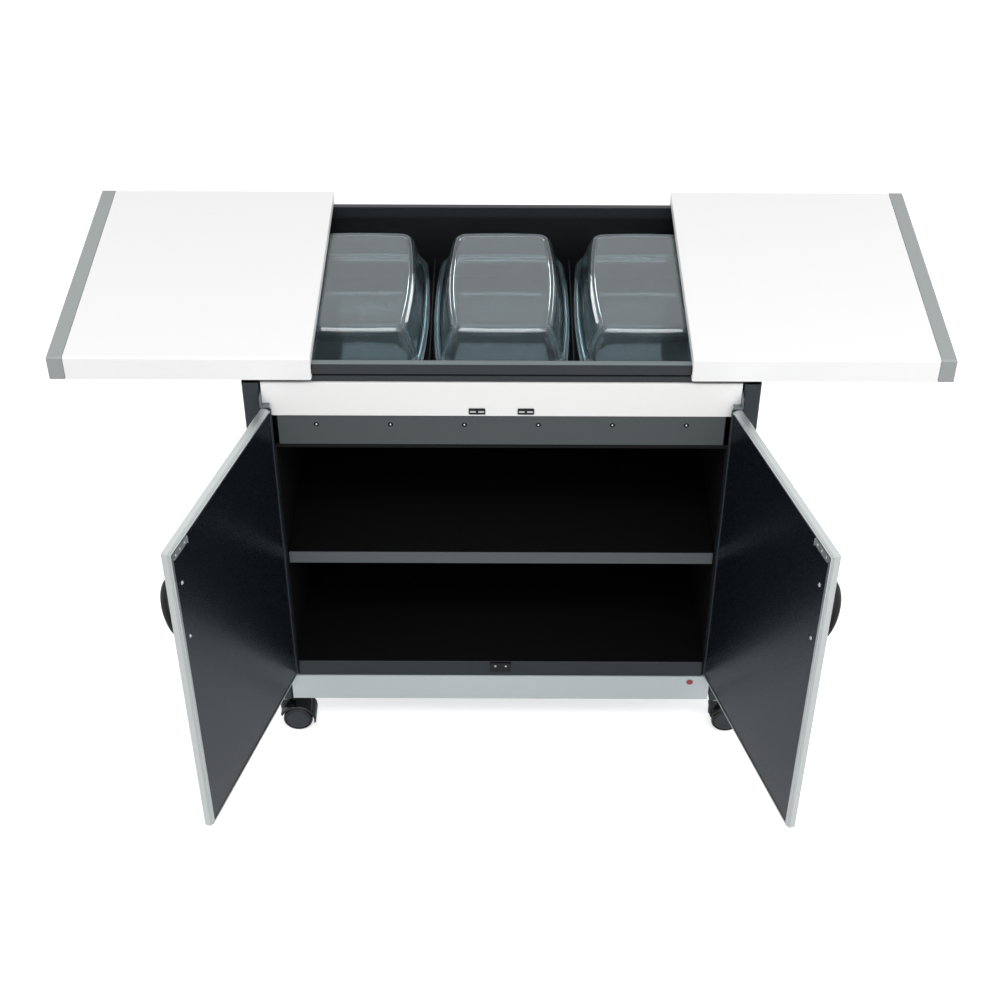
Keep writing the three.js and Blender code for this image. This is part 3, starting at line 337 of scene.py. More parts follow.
@dataclass(frozen=True)
class PressedGlass(Finish):
    """Pressed ovenware glass: clear, and blue-green where the light has a long way through it."""

    tint: str = "#9fd6e2"
    depth_per_m: float = 20.0
    clear: float = 0.97

    def outputs(self, tree: Tree) -> dict:
        """Adds the glass's own tint, which grows with the way through it.

        Args:
            tree: The material's tree.

        Returns:
            The sockets that feed the material's output, by the names of its inputs.
        """
        values = {"Color": linear(self.tint), "Density": self.depth_per_m}
        inside = add_node(tree, "VolumeAbsorption", values=values)
        return {"Surface": self.surface(tree), "Volume": inside.outputs["Volume"]}

    def dress(self, tree: Tree, shader: Node) -> None:
        """Sets the glass's own values, and the slow ripple that pressing leaves in its height.

        Args:
            tree: The material's tree.
            shader: The Principled node.
        """
        shader.inputs["Base Color"].default_value = linear(self.colour)
        shader.inputs["Roughness"].default_value = self.roughness
        shader.inputs["Transmission Weight"].default_value = self.clear
        add_height(tree, shader, self.grain(tree), self.depth_mm)


# Powder coat: a fine orange peel, satin
SLATE_POWDER_COAT = Finish("slate_powder_coat", "#1f2b31", 0.38, grain_mm=1.1)
GREY_POWDER_COAT = Finish("grey_powder_coat", "#454c4e", 0.45)
SHELF_POWDER_COAT = Finish("shelf_powder_coat", "#545b5e", 0.45)
HINGE_GREY = Finish("hinge_satin_grey", "#666c70", 0.35, depth_mm=0.01)
SILL_POWDER_COAT = Finish("blue_black_powder_coat", "#1e272e", 0.42)
RAIL_POWDER_COAT = Finish("rail_powder_coat", "#272c30", 0.32, grain_mm=1.1, depth_mm=0.02)
# A painted highlight: a lighter copy of the rail's coat, for the light along the front rail's lip
RAIL_LIP_PAINTED_HIGHLIGHT = Finish("rail_lip_powder_coat", "#6d7879", 0.34, grain_mm=1.1, depth_mm=0.02)
# Baked enamel on sheet: black, with a soft gloss
BLACK_ENAMEL = Finish("black_baked_enamel", "#0c0c0d", 0.55, ior=1.25, grain_mm=1.6)
TUB_ENAMEL = Finish("tub_baked_enamel", "#17181a", 0.45, ior=1.35, grain_mm=1.6)
# Stoved white paint on sheet
WHITE_PAINT = Finish(
    "white_stoved_paint", "#fafaf9", 0.38, grain_mm=1.4, depth_mm=0.015, shade_spread=0.01
)
# White melamine on board: even, with a faint satin
WHITE_MELAMINE = Finish(
    "white_melamine", "#fafafa", 0.42, grain_mm=0.9, depth_mm=0.008, shade_spread=0.008
)
# Silver lacquer on sheet: fine aluminium flake under a satin lacquer
SILVER_LACQUER = Finish(
    "silver_lacquer", "#ccd5d8", 0.42, metallic=0.2, grain_mm=0.6, depth_mm=0.006, shade_spread=0.05
)
# Soft grey moulding, a little sheen
GREY_MOULDING = Finish("grey_abs_moulding", "#9ba0a1", 0.42, grain_mm=0.8, depth_mm=0.02)
# Zinc plate: bright, faintly clouded
ZINC_PLATE = Finish(
    "zinc_plate", "#d3d6d8", 0.28, metallic=1.0, grain_mm=2.0, depth_mm=0.01, shade_spread=0.08
)
# Rolled steel strip, dull
STEEL_STRIP = Finish(
    "rolled_steel_strip", "#a7aeaf", 0.42, metallic=0.7, grain_mm=0.8, depth_mm=0.01,
    stretch=(1.0, 1.0, 4.0), shade_spread=0.12,
)
# Element sheath: oxidised stainless tube
ELEMENT_SHEATH = Finish(
    "oxidised_stainless", "#6d665f", 0.45, metallic=1.0, grain_mm=2.5, depth_mm=0.02,
    shade_spread=0.15,
)
# Moulded nylon and ABS in black
BLACK_NYLON = Finish("black_nylon", "#101214", 0.3, ior=1.4, grain_mm=0.9, depth_mm=0.015)
POLISHED_NYLON = Finish("polished_black_nylon", "#0a0c0f", 0.16, grain_mm=1.4, depth_mm=0.006)
SLATE_WHEEL_FACE = Finish("slate_nylon", "#262e35", 0.3, grain_mm=0.9, depth_mm=0.01)
RED_LENS = Finish("red_polycarbonate", "#9c2630", 0.12, grain_mm=3.0, depth_mm=0.0, coat=0.5)
OVENWARE = PressedGlass(
    "pressed_ovenware_glass", "#e9f5f9", 0.0, ior=1.6, grain_mm=22.0, depth_mm=0.05
)
# Dark laminate on board: a soft gloss with a cold sheen
DARK_LAMINATE = Finish(
    "dark_laminate", "#13171c", 0.27, ior=1.42, gloss_tint="#b4d6ff", grain_mm=1.3
)
# Anodised aluminium: even, with a fine grain under the grooves
ANODISED_EDGING = GroovedExtrusion(
    "anodised_edging", "#d3d8d9", 0.3, metallic=0.9, grain_mm=0.7, depth_mm=0.006
)


# ------ Surfaces


def mesh_piece(name: str, shape: Shape, material: bpy.types.Material, shading: Shading) -> Piece:
    """Makes an object at the origin from points and faces.

    Args:
        name: The piece's name.
        shape: Rows of x, y, z in metres, and lists of point numbers.
        material: Its material.
        shading: How its faces are shaded.

    Returns:
        The new object, linked to the scene.
    """
    points, faces = shape
    mesh = bpy.data.meshes.new(name)
    mesh.from_pydata(np.asarray(points, float).tolist(), [], faces)
    smooth = shading is not Shading.FLAT
    mesh.polygons.foreach_set("use_smooth", np.full(len(mesh.polygons), smooth))
    mesh.materials.append(material)
    mesh.update()
    piece = bpy.data.objects.new(name, mesh)
    bpy.context.scene.collection.objects.link(piece)
    if shading is Shading.CREASED:
        piece.modifiers.new("crease", "EDGE_SPLIT").split_angle = CREASE_ANGLE
    return piece


def add_piece(
    name: str,
    shape: Shape,
    finish: Finish,
    body: str,
    shading: Shading = Shading.SMOOTH,
) -> Piece:
    """Adds a piece of the trolley.

    Args:
        name: The piece's name.
        shape: Its points, in metres, and faces.
        finish: Its finish.
        body: The body that it rides on.
        shading: How its faces are shaded.

    Returns:
        The piece.
    """
    piece = mesh_piece(name, shape, finish.build(), shading)
    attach(piece, body)
    return piece


def ring_faces(rings: int, count: int, around: bool = False) -> list:
    """Quads over a grid of points, ring by ring, all facing away from the rings' axis.

    Args:
        rings: How many rings there are.
        count: Points in each ring.
        around: Whether the last ring joins the first, as on a torus. If not, a flat face closes
            the first ring and the last.

    Returns:
        Lists of point numbers.
    """
    ring = np.arange(rings if around else rings - 1)[:, None]
    at = np.arange(count)[None, :]
    low, high = ring * count, ((ring + 1) % rings) * count
    nxt = (at + 1) % count
    quads = np.stack([low + at, low + nxt, high + nxt, high + at], axis=-1)
    faces = quads.reshape(-1, 4).tolist()
    if not around:
        faces.append(list(range(count))[::-1])
        faces.append([(rings - 1) * count + i for i in range(count)])
    return faces


def carried_round(profile: Array, angle: Array) -> Array:
    """Carries a profile round the Y axis.

    Point (r, y) of the profile goes to (r sin a, y, r cos a) for each angle a.

    Args:
        profile: Rows of radius and height along Y.
        angle: The angles from +Z, in radians.

    Returns:
        A row of points for each point of the profile.
    """
    radius, along = profile[:, 0:1], profile[:, 1:2]
    level = np.broadcast_to(along, (len(profile), len(angle)))
    return np.stack([radius * np.sin(angle), level, radius * np.cos(angle)], axis=-1)


def revolved(profile: Array, sides: int) -> Shape:
    """Turns a closed profile, rows of radius and height, about the Y axis in equal steps."""
    points = carried_round(profile, np.linspace(0, TURN, sides, endpoint=False))
    return points.reshape(-1, 3), ring_faces(len(profile), sides, around=True)


def arc_swept(section: Array, start: float, end: float, steps: int) -> Shape:
    """Carries a section round the Y axis from one angle to another, in degrees from +X."""
    points = carried_round(section, np.radians(90 - np.linspace(start, end, steps)))
    return points.swapaxes(0, 1).reshape(-1, 3), ring_faces(steps, len(section))


def swept(path: Array, across: Array, section: Array) -> Shape:
    """Carries a section along a path.

    The section's first axis lies along across, which is constant, and its second along the normal
    of the path in the plane at right angles to across.

    Args:
        path: Rows of x, y, z.
        across: The unit direction of the section's first axis.
        section: Rows of the two section coordinates.

    Returns:
        The points and faces.
    """
    tangent = np.gradient(path, axis=0)
    tangent /= np.linalg.norm(tangent, axis=1, keepdims=True)
    normal = np.cross(tangent, across)
    points = path[:, None] + section[:, :1] * across + section[:, 1:] * normal[:, None]
    return points.reshape(-1, 3), ring_faces(len(path), len(section))


def pan_head(radius: float, height: float) -> Shape:
    """A domed screw head on the Y axis, with its top towards -Y and a hollow for the driver.

    The dome is a quarter of an ellipse as far as its flat top, and the hollow is a cone.

    Args:
        radius: Of the head, in mm.
        height: Of the dome, in mm.

    Returns:
        The points, in metres, and the faces.
    """
    turn = np.linspace(0, TURN / 4, 7)
    dome = np.stack([np.maximum(np.cos(turn), 0.36), -np.sin(turn)], axis=1)
    hollow = [[0.3, -0.95], [0.16, -0.35], [PINHOLE / radius, -0.3]]
    foot = [[PINHOLE / radius, 0.3], [1.0, 0.3]]
    profile = np.concatenate([foot, dome, hollow]) * [radius, height]
    return revolved(MM * profile, 20)


def dimple(radius: float) -> Shape:
    """A thin disc of painted shade round a screw, on the Y axis, faced towards -Y; radius in mm."""
    radii = [PINHOLE, radius, radius, radius - 0.5, PINHOLE]
    return revolved(MM * np.column_stack([radii, [0.5, 0.5, 0.05, -0.1, -0.1]]), 24)


def finish_node(name: str, finish: Finish, edge_mm: float = 0.0, steps: int = 2) -> None:
    """Gives a node of the frame its finish, and rounds its edges if asked.

    The rounding is done by modifiers, so the node's own mesh stays as it is.

    Args:
        name: The node.
        finish: Its finish.
        edge_mm: How far the rounding reaches from each edge, or 0 for none.
        steps: Faces in the rounding.
    """
    piece = frame["nodes"][name]
    material = finish.build()
    if not piece.material_slots:
        piece.data.materials.append(material)
    for slot in piece.material_slots:
        slot.material = material
    if edge_mm:
        piece.modifiers.new("weld", "WELD").merge_threshold = WELD_REACH * MM
        bevel = piece.modifiers.new("soft_edges", "BEVEL")
        bevel.width = edge_mm * MM
        bevel.segments = steps
        bevel.limit_method = "ANGLE"
        bevel.angle_limit = ROUNDED_ANGLE
    log.info("%s: %s", name, finish.name)


def both(name: str) -> list[str]:
    """The names of a node's left and right copies."""
    return [f"{name}_{side.word}" for side in Side]


# ------ Cabinet


@dataclass
class Cabinet:
    """Posts, rails, panels, liner and well, which keep their solids. Its sizes are in mm."""

    edge: float = 0.5
    rail_edge: float = 0.9
    sill_edge: float = 0.3
    rail_lip: float = 9.8
    rail_lip_fall: float = 0.1
    screw_radius: float = 1.6
    screw_height: float = 1.0
    dimple_radius: float = 4.2
    screw_places: tuple[float, ...] = (-275.4, -165.2, -55.1, 55.1, 165.2, 275.4)
    screw_drop: float = 17.2
    upper_catch_steel: float = 0.3
    lower_catch_steel: float = 0.9
    shelf_skin: float = 1.3

    def paint(self) -> None:
        """Gives the nodes of one colour their finishes."""
        posts = both("post_front") + both("post_rear")
        for finish, edge, names in (
            (RAIL_POWDER_COAT, self.rail_edge, ["rear_slide_rail"]),
            (SLATE_POWDER_COAT, self.edge, posts + both("door_pivot_lower")),
            (HINGE_GREY, self.edge, both("door_pivot_upper")),
            (WHITE_PAINT, self.edge, ["front_fascia"] + both("side_panel")),
            (WHITE_PAINT, 0, ["back_panel"]),
            (SILVER_LACQUER, 0, ["front_base_rail"]),
            (SILVER_LACQUER, self.edge, ["base_tray"]),
            (GREY_POWDER_COAT, self.edge, ["cupboard_inner_rail"]),
            (SILL_POWDER_COAT, self.sill_edge, ["cupboard_sill"]),
            (BLACK_ENAMEL, 0, ["cupboard_liner"]),
            (TUB_ENAMEL, 0, ["warming_tub"] + both("dish_divider")),
            (ELEMENT_SHEATH, 0, ["heating_element"]),
            (BLACK_NYLON, 0, ["thermostat", "mains_inlet"]),
            (RED_LENS, 0, ["indicator_lens"]),
        ):
            for name in names:
                finish_node(name, finish, edge)

    def dress_front_rail(self) -> None:
        """Paints a highlight, as a lighter coat, along the lip at the front of the rail's top.

        The dark coat and the painted highlight meet on a plane that drops a tenth of the way it runs
        forwards, so it cuts the top and leaves the front face to the darker one.
        """
        low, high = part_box("front_slide_rail")
        # The far finish is a painted highlight on the lip, a lighter copy of the rail's coat
        rail = TwoTone(
            "front_rail_coat",
            near=RAIL_POWDER_COAT,
            far=RAIL_LIP_PAINTED_HIGHLIGHT,
            normal=tuple(Vector((0.0, -self.rail_lip_fall, 1.0)).normalized()),
            meeting_point=(0.0, low.y + self.rail_lip * MM, high.z),
        )
        finish_node("front_slide_rail", rail, self.rail_edge)

    def dress_fronts(self) -> None:
        """Shows the grey skin on the shelf's front edge, and the steel in front of the catches."""
        shelf = TwoTone("shelf_enamel", near=BLACK_ENAMEL, far=SHELF_POWDER_COAT)
        rows = [("cupboard_shelf", shelf, self.shelf_skin, self.edge)]
        for name in [*both("upper_catch"), "lower_catch"]:
            catch = TwoTone(f"{name}_body", near=BLACK_NYLON, far=ZINC_PLATE)
            proud = self.lower_catch_steel if name == "lower_catch" else self.upper_catch_steel
            rows.append((name, catch, proud, 0))
        for name, finish, skin, edge in rows:
            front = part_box(name)[0].y + skin * MM
            finish_node(name, replace(finish, meeting_point=(0.0, front, 0.0)), edge)

    def add_rail_screws(self) -> None:
        """Puts a row of screws in the rail over the cupboard, each on a dark disc of painted shade.
        """
        low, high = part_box("cupboard_inner_rail")
        head = pan_head(self.screw_radius, self.screw_height)
        ring = dimple(self.dimple_radius)
        for number, x in enumerate(self.screw_places, start=1):
            place = np.array([x * MM, low.y, high.z - self.screw_drop * MM])
            for kind, (points, faces), finish, slot, shading in (
                ("screw", head, ZINC_PLATE, "steel", Shading.SMOOTH),
                # The dark disc round each screw is painted shade for its dimple; the rail itself is
                # grey paint
                ("dimple", ring, BLACK_ENAMEL, "grey_paint", Shading.FLAT),
            ):
                name = f"inner_rail_{kind}_{number}"
                add_piece(name, (points + place, faces), finish, "cabinet", shading)

    def build(self) -> None:
        """Dresses the cabinet and adds its screws."""
        self.paint()
        self.dress_front_rail()
        self.dress_fronts()
        self.add_rail_screws()
        log.info("cabinet done")


# ------ Casseroles


@dataclass
class Casserole:
    """A dish and its lid, pressed in clear glass, each one closed surface. Its sizes are in mm.

    Both are stacks of rings. A ring is a rounded rectangle whose sides bow out: each point moves
    outwards by the bow times one minus the square of its distance along the side.
    """

    place: str
    rim_half_width: float = 106.0
    rim_half_length: float = 165.0
    rim_depth: float = 7.0
    side_inset: float = 7.0
    end_inset: float = 12.0
    flange_side_inset: float = 2.5
    flange_end_inset: float = 4.5
    lid_gap: float = 0.3
    dish_height: float = 67.7
    lid_height: float = 58.7
    glass: float = 4.5
    dish_draft: float = 11.0
    lid_draft: float = 15.5
    side_bow: float = 9.0
    end_bow: float = 3.0
    corner_points: int = 9
    side_points: int = 15
    end_points: int = 9

    def __post_init__(self) -> None:
        """Works out the half width and half length of the rim and of the wall under it."""
        self.rim = np.array([self.rim_half_width, self.rim_half_length])
        self.wall = self.rim - [self.side_inset, self.end_inset]

    def ring(self, half: Array, radius: float, height: float) -> Array:
        """One bowed ring.

        Args:
            half: Half its width and half its length, each at the middle of the other, in mm.
            radius: Of its corners, in mm.
            height: Above the dish's foot, in mm.

        Returns:
            Rows of x, y, z in mm, anticlockwise from the rear end of the right side.
        """
        bow = np.array([self.side_bow, self.end_bow])
        flat = half - bow
        quarter = np.linspace(0, TURN / 4, self.corner_points)
        shares = [np.linspace(0, 1, n + 2)[1:-1, None] for n in (self.end_points, self.side_points)]
        arcs = []
        for k, corner in enumerate(([1, 1], [-1, 1], [-1, -1], [1, -1])):
            angle = quarter + k * TURN / 4
            unit = np.stack([np.cos(angle), np.sin(angle)], axis=1)
            arcs.append(corner * (flat - radius) + radius * unit)
        lines = []
        for k, arc in enumerate(arcs):
            start = arcs[(k + 1) % 4][0]
            lines += [arc, arc[-1] + (start - arc[-1]) * shares[k % 2]]
        plane = np.concatenate(lines)
        bowed = plane * (1 + bow / flat * (1 - (plane / flat)[:, ::-1] ** 2))
        return np.column_stack([bowed, np.full(len(bowed), height)])

    def stack(self, steps: list) -> Shape:
        """A closed skin, in mm, through rings: outline, distance out, corner radius, height."""
        rings = [self.ring(line + out, radius, height) for line, out, radius, height in steps]
        return np.concatenate(rings), ring_faces(len(rings), len(rings[0]))

    def dish_rings(self) -> list:
        """Rings of the dish: up its outside, over the rim and down its inside."""
        rim, wall, base = self.rim, self.wall, self.wall - self.dish_draft
        top, g = self.dish_height, self.glass
        low = top - self.rim_depth
        return [
            (base, -14, 10, 0.0),
            (base, -8, 14, 0.0),
            (base, -3, 17, 1.2),
            (base, -0.4, 19, 4.5),
            (base, 1.5, 20, 9.0),
            (wall, -3.5, 22, low - 16),
            (wall, -1, 23, low - 3),
            (wall, 0.5, 24, low - 0.6),
            (wall, 2.5, 25, low),
            (rim, -2.2, 27, low),
            (rim, -0.4, 28, low + 0.6),
            (rim, 0, 28, low + 1.7),
            (rim, -1.1, 28, low + 3.1),
            (rim, -0.1, 28, low + 4.6),
            (rim, -0.2, 28, top - 1.0),
            (rim, -1.4, 27.5, top),
            (wall, 4.6 - g, 22, top),
            (wall, 3.2 - g, 21, top - 0.6),
            (wall, 1.6 - g, 20, top - 3),
            (base, 3.5 - g, 16, 9 + g),
            (base, 1.2 - g, 15, 3 + g),
            (base, -3 - g, 12, 0.4 + g),
            (base, -9 - g, 8, g),
        ]

    def lid_rings(self) -> list:
        """Rings of the lid: down its inside, across its flange and up its outside."""
        wall, crown = self.wall, self.wall - self.lid_draft
        flange = self.rim - [self.flange_side_inset, self.flange_end_inset]
        low = self.dish_height + self.lid_gap
        top, g = low + self.lid_height, self.glass
        return [
            (crown, -12 - g, 5, top - g),
            (crown, -5.2 - g, 7.5, top - g - 0.1),
            (crown, -3.6 - g, 8.5, top - g - 0.8),
            (crown, -1.2 - g, 10, top - g - 3.4),
            (crown, -0.2 - g, 11.5, top - g - 5.2),
            (crown, 0.6 - g, 12.5, top - g - 9),
            (wall, -0.6 - g, 16, low + 5),
            (wall, -g, 17.5, low + 1),
            (wall, 1 - g, 18, low),
            (flange, -1.8, 25.5, low),
            (flange, -0.3, 26, low + 0.5),
            (flange, 0, 26, low + 1.5),
            (flange, -0.2, 26, low + 2.9),
            (flange, -1.3, 25.5, low + 3.6),
            (flange, -2.4, 23, low + 3.7),
            (wall, 1.2, 20.5, low + 4.9),
            (wall, -0.4, 19, low + 6.6),
            (wall, -1.6, 18, low + 10),
            (crown, 1.6, 15.2, top - 6.6),
            (crown, 0.9, 14.8, top - 5.2),
            (crown, 0.3, 14.4, top - 4.5),
            (crown, -1.6, 13.3, top - 2.5),
            (crown, -3.4, 12.2, top - 0.6),
            (crown, -4.4, 11.5, top - 0.1),
            (crown, -6.2, 10.3, top),
            (crown, -12, 7, top),
        ]

    def build(self) -> None:
        """Makes the dish and its lid, each over its node."""
        for kind, steps in (("dish", self.dish_rings()), ("lid", self.lid_rings())):
            node = f"casserole_{kind}_{self.place}"
            low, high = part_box(node)
            foot = low.z - steps[0][3] * MM if kind == "dish" else high.z - steps[-1][3] * MM
            centre = np.array([(low.x + high.x) / 2, (low.y + high.y) / 2, foot])
            points, faces = self.stack(steps)
            shape = (points * MM + centre, faces)
            body = f"middle_{kind}" if self.place == "middle" else "cabinet"
            piece = add_piece(f"glass_{kind}_{self.place}", shape, OVENWARE, body)
            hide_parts(node)
            smooth = piece.modifiers.new("smooth", "SUBSURF")
            smooth.levels = smooth.render_levels = 1
            log.info("%s: %d rings", piece.name, len(steps))


# ------ Tops


@dataclass
class SlidingTop:
    """A white board with its grey end trim. Its sizes are in mm."""

    side: Side
    edge: float = 1.6
    edge_steps: int = 3

    def build(self) -> None:
        """Dresses the board and its trim."""
        for name, finish in (("sliding_top", WHITE_MELAMINE), ("top_end_trim", GREY_MOULDING)):
            finish_node(f"{name}_{self.side.word}", finish, self.edge, self.edge_steps)


# ------ Doors


@dataclass
class Door:
    """A cupboard door: board, edging, bow handle, strike plate and their screws.

    Its own axes start at the pin. One runs along the door to its free edge, one outwards through
    the board and one up. Its sizes are in mm.
    """

    side: Side
    inner_face: float = 6.0
    outer_face: float = 8.0
    edging_lip: float = 1.0
    edging_edge: float = 0.3
    # Width of the slate stile by the pin, partly the pivot's profile and partly painted shade
    hinge_stile: float = 5.0
    free_edge: float = 343.3
    handle_from_edge: float = 23.6
    handle_centres: float = 100.8
    handle_reach: float = 25.0
    handle_foot: float = 4.0
    handle_bulge: float = 1.25
    handle_drop: float = 119.4
    handle_thickness: float = 11.0
    handle_breadth: float = 14.0
    strike_from_edge: float = 8.6
    strike_length: float = 41.4
    strike_drop: float = 12.0
    handle_screw_radius: float = 3.4
    strike_screw_radius: float = 2.0
    strike_screw_pitch: float = 13.5
    screw_rise: float = 0.42
    dimple_margin: float = 1.5
    overlap: float = 0.3

    def __post_init__(self) -> None:
        """Works out the door's axes from its hinge."""
        self.word = self.side.word
        name = f"door_{self.word}_hinge"
        hinge = next(j for j in frame["joints"] if j["name"] == name)
        opened = math.radians(-hinge["range_deg"][0])
        sign = self.side.value
        self.pin = np.array(hinge["pos_m"]) * [1, 1, 0]
        self.along = np.array([-sign * math.cos(opened), -math.sin(opened), 0.0])
        self.outward = np.array([sign * math.sin(opened), -math.cos(opened), 0.0])
        self.up = np.array([0, 0, 1.0])
        self.axes = np.array([self.along, self.outward, -self.up])
        self.corner = self.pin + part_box(f"door_edging_{self.word}")[1].z * self.up
        self.body = f"door_{self.word}"
        self.handle_along = self.free_edge - self.handle_from_edge

    def at(self, along: Array, outward: Array, drop: Array) -> Array:
        """Turns mm from the pin along the door, outwards and below its top into x, y, z."""
        own = np.stack(np.broadcast_arrays(along, outward, drop), axis=-1)
        return self.corner + MM * own @ self.axes

    def make_handle(self) -> None:
        """Sweeps the handle's oval section along its bow.

        The bow is half an ellipse on two short straight feet: its reach is a power of the sine
        of an angle that goes from 0 to pi, and its height the cosine.
        """
        rise = self.handle_foot
        depth = self.handle_reach - self.handle_thickness / 2
        half = self.handle_centres / 2
        turn = np.linspace(0, TURN / 2, 49)
        bow = rise + (depth - rise) * np.sin(turn) ** self.handle_bulge
        out = np.concatenate([[0.0, rise * 0.6], bow, [rise * 0.6, 0.0]])
        rows = np.concatenate([[half, half], half * np.cos(turn), [-half, -half]])
        start = self.outer_face + self.overlap
        path = self.at(self.handle_along, start + out, self.handle_drop - rows)
        angle = np.linspace(0, TURN, 24, endpoint=False)
        oval = np.stack([np.cos(angle), np.sin(angle)], axis=1)
        section = MM / 2 * oval * [self.handle_breadth, self.handle_thickness]
        shape = swept(path, self.along, section[::-1] if self.side is Side.LEFT else section)
        name = f"bow_handle_{self.word}"
        piece = add_piece(name, shape, BLACK_NYLON, self.body)
        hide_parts(f"door_handle_{self.word}")

    def add_round(self, name: str, shape: Shape, place: Vec, finish: Finish) -> None:
        """Puts a round piece on the door's inner side.

        Args:
            name: Its name, without the side.
            shape: Its points, about the Y axis with its front towards -Y, and faces.
            place: From the pin along the door, from the pin inwards, and below the top, in mm.
            finish: Its finish.
        """
        points, faces = shape
        along, inward, drop = place
        axes = np.array([np.cross(self.outward, self.up), self.outward, self.up])
        placed = (points @ axes + self.at(along, -inward, drop), faces)
        add_piece(f"{name}_{self.word}", placed, finish, self.body, Shading.CREASED)

    def add_screws(self) -> None:
        """Adds the two handle screws on discs of painted shade, and the three strike plate screws.
        """
        board = self.inner_face - self.edging_lip - self.overlap
        big, small = self.handle_screw_radius, self.strike_screw_radius
        head, stud = (pan_head(r, self.screw_rise * r) for r in (big, small))
        ring = dimple(big + self.dimple_margin)
        for word, shift in (("upper", -0.5), ("lower", 0.5)):
            place = (self.handle_along, board, self.handle_drop + shift * self.handle_centres)
            self.add_round(f"handle_screw_{word}", head, place, ZINC_PLATE)
            # The dark disc round each handle screw is painted shade for its dimple
            self.add_round(f"handle_dimple_{word}", ring, place, BLACK_ENAMEL)
        middle = self.free_edge - self.strike_from_edge - self.strike_length / 2
        for number in (1, 2, 3):
            along = middle + (number - 2) * self.strike_screw_pitch
            place = (along, self.inner_face + 0.1, self.strike_drop)
            self.add_round(f"strike_screw_{number}", stud, place, ZINC_PLATE)

    def dress(self) -> None:
        """Finishes the door: laminates, and anodising whose stile is slate coat and painted shade.
        """
        outward, middle = self.outward, (self.outer_face - self.inner_face) / 2
        board = TwoTone(
            f"door_board_{self.word}",
            near=DARK_LAMINATE,
            far=WHITE_MELAMINE,
            normal=tuple(outward),
            meeting_point=tuple(self.pin + middle * MM * outward),
        )
        # By the pin the edging turns slate: partly the pivot's own profile, partly painted shade
        # from the top
        edging = TwoTone(
            f"door_edging_{self.word}",
            near=replace(ANODISED_EDGING, across=tuple(outward)),
            far=SLATE_POWDER_COAT,
            normal=tuple(-self.along),
            meeting_point=tuple(self.pin + self.hinge_stile * MM * self.along),
        )
        finish_node(f"door_panel_{self.word}", board)
        finish_node(f"door_edging_{self.word}", edging, self.edging_edge)
        finish_node(f"strike_plate_{self.word}", STEEL_STRIP)

    def build(self) -> None:
        """Dresses the door and adds its handle and screws."""
        self.dress()
        self.make_handle()
        self.add_screws()
        log.info("door %s done", self.word)


# ------ Castors


